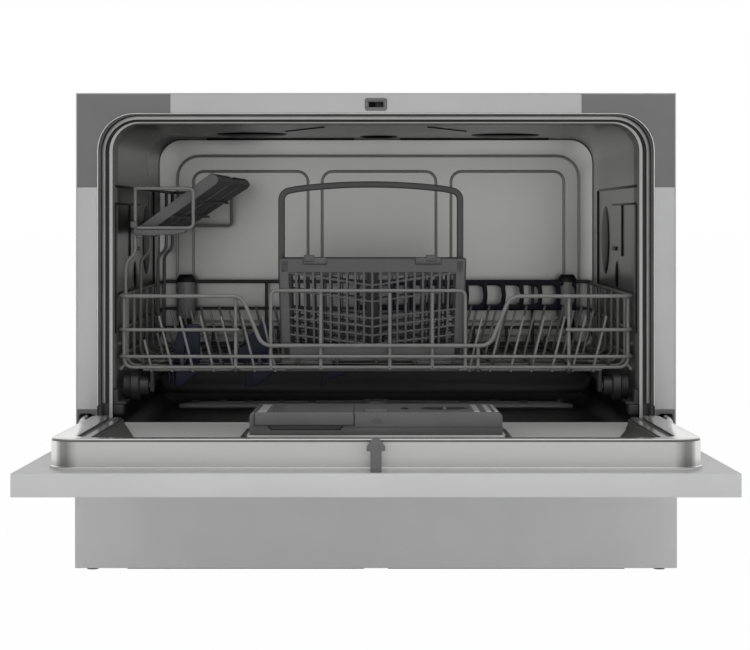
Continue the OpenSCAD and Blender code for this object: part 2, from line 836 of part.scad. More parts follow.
module water_heater() color(steel) placed() {
    rod_y(heater_r, spray_y + pump_r + 4 + pump_gap, spray_y + pump_r + heater_len, heater_x, sump_port_z);
    box(heater_x - 12, heater_x + 12, spray_y + pump_r + 30, spray_y + pump_r + 80, tray_top, sump_port_z);
}

// A fitting's collar in the rear panel, its relief groove and its free end
module fitting(r, x) {
    rod_y(r + fit_collar, recess_y - rear_t - snug, fit_collar_y, x, rear_fit_z);
    rod_y(r - fit_relief, recess_y - rear_t - snug, fit_end_y0 + cut, x, rear_fit_z);
    rod_y(r, fit_end_y0, fit_end_y1, x, rear_fit_z);
}

module inlet_valve() color(plastic) placed() {
    box(inlet_x - 19, inlet_x + 19, recess_y - rear_t - valve_len, recess_y - rear_t - snug,
        rear_fit_z - 17, rear_fit_z + 26);
    fitting(inlet_r, inlet_x);
}

module drain_spigot() color(dark) placed() difference() {
    union() {
        rod_y(drain_r + 5, recess_y - rear_t - 4, recess_y - rear_t - snug, drain_x, rear_fit_z);
        rod_y(drain_r, drain_tail_y, recess_y - rear_t, drain_x, rear_fit_z);
        fitting(drain_r, drain_x);
    }
    rod_y(drain_r - 2, drain_tail_y - cut, rear_y, drain_x, rear_fit_z);
}

module cord_gland() color(rubber) placed() difference() {
    union() {
        rod_y(gland_r + 4, recess_y - rear_t - 4, recess_y - rear_t - snug, gland_x, rear_fit_z);
        rod_y(gland_r, recess_y - rear_t - snug, recess_y + 8, gland_x, rear_fit_z);
    }
    rod_y(gland_bore_r, recess_y - rear_t - 4 - cut, recess_y + 8 + cut, gland_x, rear_fit_z);
}

module hoses() color(rubber) placed() {
    difference() {
        rod_y(hose_r, drain_hose_y0, drain_tail_y - 1, drain_x, sump_port_z - 5);
        rod_y(hose_r - hose_t, drain_hose_y0 - cut, recess_y, drain_x, sump_port_z - 5);
    }
    difference() {
        rod_y(hose_r, inlet_port_y, recess_y - rear_t - valve_len, inlet_x, sump_port_z);
        rod_y(hose_r - hose_t, inlet_port_y - cut, recess_y, inlet_x, sump_port_z);
    }
}

// ---- Door, drawn closed ----

module door_panel() color(silver) door_pose() difference() {
    box(-half_w, half_w, door_outer_y, door_inner_y, door_low, door_high);
    box(-half_w + panel_t, half_w - panel_t, door_outer_y + panel_t, door_inner_y - panel_t,
        door_low + panel_t, door_high - panel_t);
    box(-pan_half + 3, pan_half - 3, door_inner_y - panel_t - cut, door_inner_y + cut,
        door_low + 12, pan_top - 3);
    both_sides() box(notch_x, notch_end, door_outer_y + panel_t, door_inner_y + cut,
        door_low - cut, pivot_z + eye_r + 2);
    both_sides() box(notch_x, notch_end, door_inner_y - panel_t - cut, door_inner_y + cut,
        door_low - cut, notch_top);
    box(-fascia_w / 2 - snug, fascia_w / 2 + snug, door_outer_y - cut, door_outer_y + panel_t + cut,
        fascia_low - snug, fascia_top + snug);
    box(-grip_w / 2 - snug, grip_w / 2 + snug, door_outer_y - cut, door_outer_y + panel_t + cut,
        grip_low - snug, grip_top + snug);
}

// The pan's outline at a distance inside its outer edge
module pan_outline(inset, low) arch(pan_half - inset, low, pan_top - inset, pan_r - min(inset, pan_r - 4));

module door_pan() color(steel) door_pose() difference() {
    union() {
        along_y(door_inner_y, rim_y) pan_outline(0, rim_low);
        along_y(pan_y, pan_y + pan_t) pan_outline(rim_w, pan_low);
        box(-disp_half - plateau_edge, disp_half + plateau_edge, pan_y, plateau_y,
            disp_low - plateau_edge, disp_high + plateau_edge);
    }
    along_y(door_inner_y - cut, rim_y - pan_t) difference() {
        pan_outline(pan_t, rim_low - cut);
        pan_outline(rim_w - pan_t, rim_low - 2 * cut);
    }
    along_y(door_inner_y - cut, pan_y) pan_outline(rim_w - 2 * pan_t, rim_low - 3 * cut);
    along_y(pan_y + pan_t, rim_y + cut) difference() {
        pan_outline(rim_w, rim_low - cut);
        translate([-disp_half - plateau_edge, disp_low - plateau_edge])
            square([disp_w + 2 * plateau_edge, disp_len + 2 * plateau_edge]);
    }
    along_y(plateau_y, rim_y + cut) pan_outline(rim_w, rim_low - cut);
    box(-disp_half + disp_neck - snug, disp_half - disp_neck + snug, pan_y - cut, plateau_y + cut,
        disp_low + disp_neck - snug, disp_high - disp_neck + snug);
    box(-disp_half - plateau_edge + pan_t, disp_half + plateau_edge - pan_t, pan_y - cut, plateau_y - pan_t,
        disp_low - plateau_edge + pan_t, disp_high + plateau_edge - pan_t);
}

module latch_hook() color(dark) door_pose() translate([0, 0, latch_z - hook_t / 2]) linear_extrude(hook_t)
    polygon([[-hook_stem_w / 2, door_inner_y], [hook_stem_w / 2, door_inner_y],
        [hook_stem_w / 2, hook_y1 - 9], [hook_head_w / 2, hook_y1 - 9], [hook_head_w / 2, hook_y1 - 6],
        [2, hook_y1], [-2, hook_y1], [-hook_head_w / 2, hook_y1 - 6], [-hook_head_w / 2, hook_y1 - 9],
        [-hook_stem_w / 2, hook_y1 - 9]]);

module hinge_arms() color(steel) door_pose() both_sides() difference() {
    along_x(arm_x, arm_x + arm_t) {
        translate([pivot_y, pivot_z]) circle(eye_r);
        translate([arm_y0, pivot_z]) square([arm_y1 - arm_y0, arm_len]);
        intersection() {
            translate([pivot_y, pivot_z]) difference() {
                circle(horn_r + horn_w / 2);
                circle(horn_r - horn_w / 2);
            }
            translate([pivot_y, pivot_z - pivot_drop]) square(2 * horn_r);
        }
    }
    rod_x(pin_r + pin_gap, arm_x - cut, arm_x + arm_t + cut, pivot_y, pivot_z);
}

// Button places along the fascia, left pair then right pair

module control_fascia() color(dark) door_pose() difference() {
    union() {
        box(-fascia_w / 2, fascia_w / 2, door_outer_y, door_outer_y + fascia_t, fascia_low, fascia_top);
        for (x = [-fascia_w / 2 + 8, fascia_w / 2 - 8], z = [fascia_low + 6, fascia_top - 6])
            rod_y(3, door_outer_y + fascia_t, board_y, x, z);
    }
    for (x = button_xs) rod_y(button_hole, door_outer_y - cut, door_outer_y + fascia_t + cut, x, fascia_mid);
    box(-window_w / 2 - snug, window_w / 2 + snug, door_outer_y - cut, door_outer_y + fascia_t - 1,
        fascia_mid - window_h / 2 - snug, fascia_mid + window_h / 2 + snug);
}

module display_window() color("#101214") door_pose()
    box(-window_w / 2, window_w / 2, door_outer_y, door_outer_y + fascia_t - 1,
        fascia_mid - window_h / 2, fascia_mid + window_h / 2);

module control_board() color("#1f4a35") door_pose()
    box(-fascia_w / 2 + 3, fascia_w / 2 - 3, board_y, board_y + board_t, fascia_low + 1, fascia_top - 1);

module button(place) color(silver) door_pose() {
    x = button_xs[place];
    rod_y(button_r, door_outer_y - button_proud, door_outer_y - button_proud + button_len, x, fascia_mid);
}

module button_power() button(0);
module button_program() button(1);
module button_delay() button(2);
module button_start() button(3);

module grip_cup() color(plastic) door_pose() difference() {
    box(-grip_w / 2, grip_w / 2, door_outer_y, door_outer_y + grip_depth, grip_low, grip_top);
    box(-grip_w / 2 + grip_t, grip_w / 2 - grip_t, door_outer_y - cut, door_outer_y + grip_depth - grip_t,
        grip_low + grip_t, grip_top - grip_t - 6);
    box(-grip_w / 2 + grip_t, grip_w / 2 - grip_t, door_outer_y + 4, door_outer_y + grip_depth - grip_t,
        grip_low + grip_t, grip_top - grip_t);
}

module dispenser_body() color(plastic) door_pose() difference() {
    union() {
        box(-disp_half, disp_half, plateau_y + snug, disp_face_y, disp_low, disp_high);
        box(-disp_half + disp_neck, disp_half - disp_neck, disp_back_y, plateau_y + snug,
            disp_low + disp_neck, disp_high - disp_neck);
    }
    box(lid_x0 - seat, lid_x1 + seat, lid_y - seat, disp_face_y + cut, lid_z0 - seat, disp_high + cut);
    box(lid_x0 + cup_wall, lid_x1 - cup_wall, cup_y, lid_y, cup_z0, cup_z1);
    box(-catch_half - seat, catch_half + seat, disp_face_y - catch_depth, disp_face_y + cut,
        catch_z0 - seat, catch_z1 + seat);
    rod_y(cap_r + seat, disp_face_y - cap_h - seat, disp_face_y + cut, cap_x, cap_z);
    rod_y(cap_stem_r + cap_gap, disp_face_y - cap_h - cap_stem_h - 1, disp_face_y, cap_x, cap_z);
}

module detergent_lid() color(plastic) door_pose() {
    box(lid_x0, lid_x1, lid_y, disp_face_y, lid_z0, disp_high + lid_t + seat);
    box(lid_x0, lid_x1, disp_face_y - lid_skirt, lid_y, disp_high + seat, disp_high + lid_t + seat);
}

module lid_catch() color(dark) door_pose()
    box(-catch_half, catch_half, disp_face_y - catch_depth + catch_travel + seat, disp_face_y + catch_proud,
        catch_z0, catch_z1);

module rinse_cap() color(dark) door_pose() {
    rod_y(cap_r, disp_face_y - cap_h, disp_face_y, cap_x, cap_z);
    rod_y(cap_stem_r, disp_face_y - cap_h - cap_stem_h, disp_face_y - cap_h, cap_x, cap_z);
    box(cap_x - cap_bar_w / 2, cap_x + cap_bar_w / 2, disp_face_y, disp_face_y + cap_bar_h,
        cap_z - cap_r + 2, cap_z + cap_r - 2);
}

// ---- Rack ----

module rack_front() color(wire_grey) placed() {
    top = floor_z + rack_rim;
    dip = floor_z + rack_dip;
    mid = floor_z + mid_rail;
    ends = rack_half - plane_step;
    wire([[-ends, rack_y0, top], [-dip_half - dip_slope, rack_y0, top], [-dip_half, rack_y0, dip],
        [dip_half, rack_y0, dip], [dip_half + dip_slope, rack_y0, top], [ends, rack_y0, top]], rim_wire_r);
    wire([[-ends, rack_y0, mid], [-dip_half - dip_slope - 6, rack_y0, mid]], wire_r);
    wire([[dip_half + 71, rack_y0, mid], [ends, rack_y0, mid]], wire_r);
    wire([[-ends, rack_y0, floor_z + low_rail], [ends, rack_y0, floor_z + low_rail]], wire_r);
    for (x = [-dip_half - dip_slope - 6, dip_half + 74])
        wire([[x, inner_y, foot_z], [x, inner_y, top]], wire_r);
    wire([[dip_half - 11, inner_y, foot_z], [dip_half - 11, inner_y, dip]], wire_r);
    wire([[loop_x0, inner_y, foot_z], [loop_x0, inner_y, floor_z + loop_rise],
        [loop_x1, inner_y, floor_z + loop_rise], [loop_x1, inner_y, foot_z]], wire_r);
    for (x = loop_bar_xs)
        wire([[x, inner_y, foot_z], [x, inner_y, floor_z + loop_rise - 2 * wire_r]], wire_r);
}

module rack_back() color(wire_grey) placed() {
    ends = rack_half - plane_step;
    top = floor_z + rack_rim + 2;
    wire([[-ends, rack_y1, top], [ends, rack_y1, top]], rim_wire_r);
    for (rise = back_rail_rises)
        wire([[-ends, rack_y1, floor_z + rise], [ends, rack_y1, floor_z + rise]], wire_r);
    for (x = back_bar_xs)
        wire([[x, rack_y1 + plane_step, floor_z], [x, rack_y1 + plane_step, top]], wire_r);
}

// A round bar along X between two distances from the middle; side is -1 for the left and 1 for the right
module side_rod(r, side, x_in, x_out, y, z)
    rod_x(r, min(side * x_in, side * x_out), max(side * x_in, side * x_out), y, z);

// One side wall with its two wheel brackets and axles
module rack_side(side) {
    x = side * rack_half;
    x_in = x - side * plane_step;
    top = floor_z + rack_rim;
    wire([[x, rack_y0, top], [x, rack_y1, top]], rim_wire_r);
    for (z = [floor_z + low_rail, floor_z + mid_rail]) wire([[x, rack_y0, z], [x, rack_y1, z]], wire_r);
    for (y = [rack_y0 + wall_start:wall_pitch:rack_y1 - 20])
        wire([[x_in, y, foot_z], [x_in, y, top]], wire_r);
    for (y = [wheel_y0, wheel_y1]) {
        translate([side * (wheel_x0 - 3), y, (axle_z - 6 + cross_z - wire_r - snug) / 2])
            cube([4, bracket_w, cross_z - wire_r - snug - axle_z + 6], center = true);
        side_rod(axle_r, side, wheel_x0 - 1, wheel_x1 + 0.8, y, axle_z);
    }
}

module rack_left() color(wire_grey) placed() rack_side(-1);
module rack_right() color(wire_grey) placed() rack_side(1);

module rack_floor() color(wire_grey) placed() {
    ends = rack_half - plane_step - wire_r;
    for (x = floor_xs) wire([[x, long_y0, floor_z], [x, long_y1, floor_z]], wire_r);
    for (y = [rack_y0 + 100, (rack_y0 + rack_y1) / 2, rack_y1 - 100])
        wire([[-ends, y, cross_z], [ends, y, cross_z]], wire_r);
    for (y = [wheel_y0, wheel_y1]) wire([[-wheel_x0 + 1, y, cross_z], [wheel_x0 - 1, y, cross_z]], wire_r);
    edge_x = rack_half - plane_step;
    both_sides() wire([[edge_x, long_y0, floor_z], [edge_x, long_y1, floor_z]], wire_r);
    for (y = [rack_y0, rack_y1]) wire([[-ends, y, floor_z], [ends, y, floor_z]], wire_r);
}

module tine_rows() color(wire_grey) placed() for (side = [-1, 1], row = [0:tine_rows_n - 1]) {
    y = tine_y0 + row * tine_row_pitch;
    y_tine = y + 2 * tine_r + snug;
    x0 = rack_half - tine_edge - tine_lean - plane_step;
    x1 = x0 - (tine_count - 0.5) * tine_pitch;
    base = floor_z + wire_r + tine_r + snug;
    wire([[side * (x0 + tine_pitch / 2), y, base], [side * x1, y, base]], tine_r);
    for (i = [0:tine_count - 1]) {
        x = x0 - i * tine_pitch;
        wire([[side * x, y_tine, base], [side * (x + tine_lean), y_tine, base + tine_h]], tine_r);
    }
}

module shelf_posts() color(wire_grey) placed() {
    for (y = post_ys)
        wire([[post_low_x, y, foot_z], [post_low_x, y, floor_z + kink_low],
            [post_x, y, floor_z + kink_high], [post_x, y, floor_z + post_top - rim_wire_r - wire_r]], wire_r);
    wire([[rail_x, wheel_y0 + 2, shelf_z], [rail_x, rack_y1 - 4, shelf_z]], wire_r);
    for (y = [wheel_y0, rack_y1 - 4])
        wire([[post_x - wire_r, y, floor_z + post_top], [post_x + loop_len, y, floor_z + post_top],
            [post_x + loop_len, y, shelf_z + 2], [post_x + 2 * wire_r, y, shelf_z + 2]], wire_r);
    wire([[post_x, wheel_y0 + 2, floor_z + post_top], [post_x, rack_y1 - 6, floor_z + post_top]], wire_r);
}

module cup_shelf() color(plastic) placed() {
    translate([rail_x, 0, shelf_z]) rotate([0, -shelf_tilt, 0]) difference() {
        union() {
            for (y = knuckle_ys) {
                rod_y(knuckle_r, y, y + knuckle_w, 0, 0);
                box(0, knuckle_r + 2, y, y + knuckle_w, -knuckle_r, -knuckle_r + shelf_t);
            }
            box(knuckle_r + 2, shelf_len, shelf_y0, shelf_y0 + shelf_w, -knuckle_r, -knuckle_r + shelf_t);
            box(knuckle_r + 2, shelf_len, shelf_y0, shelf_y0 + shelf_t, -knuckle_r, knuckle_r);
            box(knuckle_r + 2, shelf_len, shelf_y0 + shelf_w - shelf_t, shelf_y0 + shelf_w,
                -knuckle_r, knuckle_r);
        }
        rod_y(wire_r + knuckle_gap, shelf_y0 - cut, shelf_y0 + shelf_w + cut, 0, 0);
    }
}

module cup_comb() color(navy) placed() along_y(comb_y1 - comb_t, comb_y1) difference() {
    translate([comb_x0, comb_z0]) square([comb_count * comb_pitch, comb_h]);
    for (i = [0:comb_count - 1]) translate([comb_x0 + i * comb_pitch + comb_post / 2, comb_z0 + comb_band])
        square([comb_pitch - comb_post, comb_h - 2 * comb_band]);
}

module plate_clips() color(navy) placed() for (i = [0:2]) {
    x0 = clip_x0 + i * clip_pitch;
    along_y(clip_y, clip_y + clip_t) difference() {
        union() {
            polygon([[x0, clip_top], [x0 + clip_len, clip_top], [x0 + clip_len, floor_z - 4],
                [x0 + 10, floor_z - clip_drop], [x0, floor_z - clip_drop]]);
            if (x0 + clip_post_w < basket_x0)
                translate([x0, clip_top - cut]) square([clip_post_w, clip_rise]);
        }
        for (x = floor_xs) translate([x, floor_z]) circle(wire_r + snug);
    }
}

// A wheel with its tread outside, its flange in the middle and a small ring inside
module wheel(side, y) color(plastic) placed() difference() {
    union() {
        side_rod(wheel_r, side, wheel_x1 - tread_w, wheel_x1, y, axle_z);
        side_rod(wheel_r + flange_h, side, wheel_x0 + inner_w, wheel_x1 - tread_w, y, axle_z);
        side_rod(wheel_inner_r, side, wheel_x0, wheel_x0 + inner_w, y, axle_z);
    }
    side_rod(axle_r + axle_gap, side, wheel_x0 - cut, wheel_x1 + cut, y, axle_z);
}

module wheel_front_left() wheel(-1, wheel_y0);
module wheel_front_right() wheel(1, wheel_y0);
module wheel_rear_left() wheel(-1, wheel_y1);
module wheel_rear_right() wheel(1, wheel_y1);

module cutlery_basket() color(plastic) placed() {
    x1 = basket_x0 + basket_w;
    y1 = basket_y0 + basket_d;
    difference() {
        box(basket_x0, x1, basket_y0, y1, basket_z, basket_top);
        box(basket_x0 + basket_t, x1 - basket_t, basket_y0 + basket_t, y1 - basket_t,
            basket_z + basket_t, basket_top + cut);
    }
    box(basket_x0 + basket_t, x1 - basket_t, (basket_y0 + y1 - basket_t) / 2, (basket_y0 + y1 + basket_t) / 2,
        basket_z + basket_t, basket_top - 12);
}

module cutlery_handle() color(dark) placed() {
    x0 = basket_x0 + basket_t + seat;
    x1 = basket_x0 + basket_w - basket_t - seat;
    top = basket_top + handle_h;
    low = basket_top - 24;
    mid = (x0 + x1) / 2;
    half = (x1 - x0) / 2;
    y = basket_y0 + basket_d / 2 + 12;
    translate([mid, 0, 0]) along_y(y - handle_w / 2, y + handle_w / 2) difference() {
        arch(half, low, top, 10);
        arch(half - handle_t, low - cut, top - handle_t, 6);
    }
}

outer_casing();
front_frame();
corner_trims();
kick_plate();
base_tray();
levelling_feet();
rear_panel();
rear_screws();
tub();
tub_gasket();
hinge_covers();
hinge_brackets();
latch_housing();
latch_catch();
rack_guides();
sump();
filter_cup();
filter_plate();
spray_post();
wash_pump();
drain_pump();
water_heater();
inlet_valve();
drain_spigot();
cord_gland();
hoses();
door_panel();
door_pan();
latch_hook();
hinge_arms();
control_fascia();
display_window();
control_board();
grip_cup();
dispenser_body();
detergent_lid();
lid_catch();
rinse_cap();
button_power();
button_program();
button_delay();
button_start();
spray_arm();
rack_front();
rack_back();
rack_left();
rack_right();
rack_floor();
tine_rows();
shelf_posts();
cup_comb();
plate_clips();
wheel_front_left();
wheel_front_right();
wheel_rear_left();
wheel_rear_right();
cup_shelf();
cutlery_basket();
cutlery_handle();
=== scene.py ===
# %% [markdown]
# # A countertop dishwasher with its door folded down
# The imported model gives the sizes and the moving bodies. Each cell below makes one piece or one finish,
# and a few sentences before it say what that is on the real machine and why it is made this way.

# %% Load the frame and keep its box
import json
import math
import random

import bmesh
import bpy
from mathutils import Matrix, Vector


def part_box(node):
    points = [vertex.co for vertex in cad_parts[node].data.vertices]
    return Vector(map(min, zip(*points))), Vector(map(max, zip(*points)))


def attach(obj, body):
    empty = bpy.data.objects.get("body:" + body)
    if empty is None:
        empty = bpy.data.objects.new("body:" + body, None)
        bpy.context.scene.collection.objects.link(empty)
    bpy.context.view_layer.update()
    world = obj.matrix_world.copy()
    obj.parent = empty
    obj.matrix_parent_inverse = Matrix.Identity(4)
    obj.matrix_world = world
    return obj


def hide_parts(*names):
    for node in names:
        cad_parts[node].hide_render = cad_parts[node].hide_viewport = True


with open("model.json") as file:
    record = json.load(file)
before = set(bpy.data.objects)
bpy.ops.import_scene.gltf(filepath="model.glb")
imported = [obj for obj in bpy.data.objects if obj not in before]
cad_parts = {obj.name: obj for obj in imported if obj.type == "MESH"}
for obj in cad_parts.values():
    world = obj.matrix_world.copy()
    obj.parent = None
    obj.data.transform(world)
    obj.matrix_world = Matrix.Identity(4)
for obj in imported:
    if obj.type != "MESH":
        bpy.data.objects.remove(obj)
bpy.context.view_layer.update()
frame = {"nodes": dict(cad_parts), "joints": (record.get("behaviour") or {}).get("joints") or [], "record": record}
nodes = frame["nodes"]
joints = {j["name"]: j for j in frame["joints"]}

# %% [markdown]
# ## Two ways to place a piece
# A maker's drawing is easiest to follow in millimetres from the cabinet's front: X to the right, Y into
# the cabinet and Z up from the worktop. The door is drawn closed in the same way and then turned open
# about its hinge. Each piece is modelled in such a drawing, and one matrix puts its mesh in place.

# %% Drawing frames in millimetres
MM = 0.001
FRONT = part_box("front_frame")[0].y
IN_CABINET = Matrix.Translation((0, FRONT, 0)) @ Matrix.Scale(MM, 4)
hinge = joints["door_hinge"]
HINGE_Y = (hinge["pos_m"][1] - FRONT) / MM
HINGE_Z = hinge["pos_m"][2] / MM
OPEN_DEG = -hinge["range_deg"][0]
pivot = Matrix.Translation((0, HINGE_Y, HINGE_Z))
ON_DOOR = IN_CABINET @ pivot @ Matrix.Rotation(math.radians(OPEN_DEG), 4, "X") @ pivot.inverted()


def drawn_box(name, turned=False):
    """A node's lowest and highest corner in the drawing's millimetres."""
    back = (ON_DOOR if turned else IN_CABINET).inverted()
    points = [back @ v.co for v in nodes[name].data.vertices]
    low = Vector([min(p[i] for p in points) for i in range(3)])
    high = Vector([max(p[i] for p in points) for i in range(3)])
    return low, high


print("hinge at", round(HINGE_Y, 2), round(HINGE_Z, 2), "open by", OPEN_DEG)

# %% [markdown]
# ## The camera
# The machine is seen square on from nearly two metres, a little above its middle, with a long lens.
# The lens is shifted down and never tilted, so that upright edges stay upright.

# %% Camera
camera = bpy.data.objects.new("camera", bpy.data.cameras.new("camera"))
bpy.context.scene.collection.objects.link(camera)
camera.data.sensor_width = 36
camera.data.lens = 97.25
camera.data.shift_x = -0.0013
camera.data.shift_y = -0.144
camera.location = IN_CABINET @ Vector((0, -1857, 324.3))
camera.rotation_euler = (math.radians(90), 0, 0)
camera.data.clip_end = 50
bpy.context.scene.camera = camera
print("camera at", [round(c, 3) for c in camera.location])

# %% [markdown]
# ## Shaping helpers
# Every new piece starts as a primitive, is shaped in edit mode and ends in the drawing's place. The
# helpers below do what a hand would repeat: extrude a ring through a list of outlines, bend a bar
# through a list of points, round the edges, and put the mesh where it belongs.

# %% Helpers for selecting, finishing and placing
def alone(obj):
    """Selects one object and nothing else."""
    if bpy.context.object and bpy.context.object.mode != "OBJECT":
        bpy.ops.object.mode_set(mode="OBJECT")
    bpy.ops.object.select_all(action="DESELECT")
    obj.select_set(True)
    bpy.context.view_layer.objects.active = obj


def modify(obj, kind, **settings):
    """Adds one modifier with its settings and applies it."""
    alone(obj)
    modifier = obj.modifiers.new(kind, kind)
    for key, value in settings.items():
        setattr(modifier, key, value)
    bpy.ops.object.modifier_apply(modifier=modifier.name)


def soften(obj, width, segments=3, angle=35):
    """Rounds the edges that are sharper than an angle."""
    modify(obj, "BEVEL", width=width, segments=segments, limit_method="ANGLE",
           angle_limit=math.radians(angle), use_clamp_overlap=True)


def clean(obj):
    """Merges doubles and turns every face outwards."""
    alone(obj)
    bpy.ops.object.mode_set(mode="EDIT")
    bpy.ops.mesh.select_all(action="SELECT")
    bpy.ops.mesh.remove_doubles(threshold=0.004)
    bpy.ops.mesh.normals_make_consistent(inside=False)
    bpy.ops.object.mode_set(mode="OBJECT")


def join(name, parts):
    """Joins parts into the first one."""
    alone(parts[0])
    for part in parts:
        part.select_set(True)
    bpy.context.view_layer.objects.active = parts[0]
    bpy.ops.object.join()
    parts[0].name = name
    return parts[0]


def settle(obj, body, material, place=IN_CABINET, stands_for=(), smooth=35):
    """Puts a finished piece in its place, gives it its finish and lets it ride on its body."""
    alone(obj)
    bpy.ops.object.transform_apply(location=True, rotation=True, scale=True)
    obj.data.transform(place)
    if smooth:
        bpy.ops.object.shade_smooth_by_angle(angle=math.radians(smooth))
    obj.data.materials.clear()
    obj.data.materials.append(material)
    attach(obj, body)
    if stands_for:
        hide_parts(*stands_for)
    print(obj.name, len(obj.data.polygons), "faces")
    return obj


# %% Helpers that shape
def block(name, x0, x1, y0, y1, z0, z1):
    """A cuboid between two corners, to be shaped further."""
    bpy.ops.mesh.primitive_cube_add(size=1, location=((x0 + x1) / 2, (y0 + y1) / 2, (z0 + z1) / 2),
                                    scale=(x1 - x0, y1 - y0, z1 - z0))
    obj = bpy.context.object
    obj.name = name
    bpy.ops.object.transform_apply(location=True, rotation=True, scale=True)
    return obj


def round_rect(x0, x1, z0, z1, radii, y, segments=6):
    """An outline in X and Z at one Y. radii are those of the low right, high right, high left, low left."""
    ring = []
    corners = ((x1, z0, -90, -1, 1), (x1, z1, 0, -1, -1), (x0, z1, 90, 1, -1), (x0, z0, 180, 1, 1))
    if not isinstance(radii, (tuple, list)):
        radii = (radii,) * 4
    for (cx, cz, start, sx, sz), r in zip(corners, radii):
        for k in range(segments + 1):
            a = math.radians(start + 90 * k / segments)
            ring.append(Vector((cx + sx * r + r * math.cos(a), y, cz + sz * r + r * math.sin(a))))
    return ring


def circle_ring(cx, cz, r, y, count=32, rz=None):
    """A round or oval outline in X and Z at one Y."""
    turns = [2 * math.pi * k / count for k in range(count)]
    return [Vector((cx + r * math.cos(a), y, cz + (rz or r) * math.sin(a))) for a in turns]


def loft(name, rings, start=True, end=True):
    """Extrudes the first ring through all the others, which have as many points, and closes the ends."""
    bpy.ops.object.select_all(action="DESELECT")
    bpy.ops.mesh.primitive_circle_add(vertices=len(rings[0]), fill_type="NGON" if start else "NOTHING")
    obj = bpy.context.object
    obj.name = name
    places = obj.data.attributes.new("place", "INT", "POINT")
    for i, point in enumerate(rings[0]):
        obj.data.vertices[i].co = point
        places.data[i].value = i
    bpy.ops.object.mode_set(mode="EDIT")
    bpy.ops.mesh.select_mode(type="EDGE")
    bpy.ops.mesh.select_all(action="SELECT")
    for ring in rings[1:]:
        bpy.ops.mesh.extrude_edges_move()
        mesh = bmesh.from_edit_mesh(obj.data)
        layer = mesh.verts.layers.int["place"]
        for v in mesh.verts:
            if v.select:
                v.co = ring[v[layer]]
        bmesh.update_edit_mesh(obj.data)
    if end:
        bpy.ops.mesh.edge_face_add()
    bpy.ops.object.mode_set(mode="OBJECT")
    obj.data.attributes.remove(obj.data.attributes["place"])
    clean(obj)
    return obj


def bend_bars(name, runs, radius, bend=6.0, sides=3):
    """Round bars through lists of points, with every inner corner bent. One run may be closed by repeating its start."""
    points, edges, corners = [], [], []
    for run in runs:
        first = len(points)
        closed = (Vector(run[0]) - Vector(run[-1])).length < 1e-6
        run = run[:-1] if closed else run
        points += [Vector(p) for p in run]
        edges += [(first + i, first + i + 1) for i in range(len(run) - 1)]
        if closed:
            edges.append((first + len(run) - 1, first))
        corners += range(first, first + len(run)) if closed else range(first + 1, first + len(run) - 1)
    mesh = bpy.data.meshes.new(name)
    mesh.from_pydata(points, edges, [])
    obj = bpy.data.objects.new(name, mesh)
    bpy.context.scene.collection.objects.link(obj)
    alone(obj)
    if corners and bend:
        bpy.ops.object.mode_set(mode="EDIT")
        bpy.ops.mesh.select_mode(type="VERT")
        bpy.ops.mesh.select_all(action="DESELECT")
        bm = bmesh.from_edit_mesh(mesh)
        bm.verts.ensure_lookup_table()
        for i in corners:
            bm.verts[i].select = True
        bpy.ops.mesh.bevel(offset=bend, segments=4, affect="VERTICES", clamp_overlap=True)
        bpy.ops.object.mode_set(mode="OBJECT")
    bpy.ops.object.convert(target="CURVE")
    obj = bpy.context.object
    obj.data.bevel_depth = radius
    obj.data.bevel_resolution = sides
    obj.data.use_fill_caps = True
    bpy.ops.object.convert(target="MESH")
    obj = bpy.context.object
    obj.name = name
    return obj


def copy_of(obj, name, matrix):
    """A copy with its own mesh, moved by a matrix."""
    twin = obj.copy()
    twin.data = obj.data.copy()
    twin.name = name
    bpy.context.scene.collection.objects.link(twin)
    twin.data.transform(matrix)
    if matrix.determinant() < 0:
        twin.data.flip_normals()
    return twin


MIRROR_X = Matrix.Scale(-1, 4, (1, 0, 0))
print("helpers ready")

# %% Helpers for sheets that follow a path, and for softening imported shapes
def arch_path(half, low, top, r, segments=8):
    """Stations up the left side, over the rounded corners and down the right, with their inward directions."""
    path = [((-half, low), (1, 0))]
    for cx, start in ((-half + r, 180), (half - r, 90)):
        for k in range(segments + 1):
            a = math.radians(start - 90 * k / segments)
            c, s = math.cos(a), math.sin(a)
            path.append(((cx + r * c, top - r + r * s), (-c, -s)))
    path.append(((half, low), (-1, 0)))
    return path


def sweep(name, path, profile):
    """Draws a closed profile of inward distance and depth along a path."""
    rings = [[Vector((p[0] + n[0] * u, y, p[1] + n[1] * u)) for u, y in profile] for p, n in path]
    return loft(name, rings)


def softened(name, node, width, segments=2, turned=False, angle=40):
    """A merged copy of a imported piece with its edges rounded, in the drawing's millimetres."""
    mesh = nodes[node].data.copy()
    mesh.transform((ON_DOOR if turned else IN_CABINET).inverted())
    obj = bpy.data.objects.new(name, mesh)
    bpy.context.scene.collection.objects.link(obj)
    alone(obj)
    bpy.ops.object.mode_set(mode="EDIT")
    bpy.ops.mesh.select_all(action="SELECT")
    bpy.ops.mesh.remove_doubles(threshold=0.004)
    bpy.ops.mesh.dissolve_limited(angle_limit=math.radians(1))
    bpy.ops.object.mode_set(mode="OBJECT")
    if width:
        soften(obj, width, segments, angle)
    return obj


def filled(bm, *loops):
    """Fills a flat region whose border is the first loop and whose holes are the others."""
    edges = [bm.edges.get((loop[i], loop[i - 1])) for loop in loops for i in range(len(loop))]
    bmesh.ops.triangle_fill(bm, use_beauty=True, edges=edges)


def looped(bm, ring):
    """Adds a closed ring of vertices and edges."""
    verts = [bm.verts.new(p) for p in ring]
    for i in range(len(verts)):
        bm.edges.new((verts[i], verts[i - 1]))
    return verts


def bridged(bm, one, two):
    """Joins two rings of the same length by a band of faces."""
    for i in range(len(one)):
        bm.faces.new((one[i], one[i - 1], two[i - 1], two[i]))

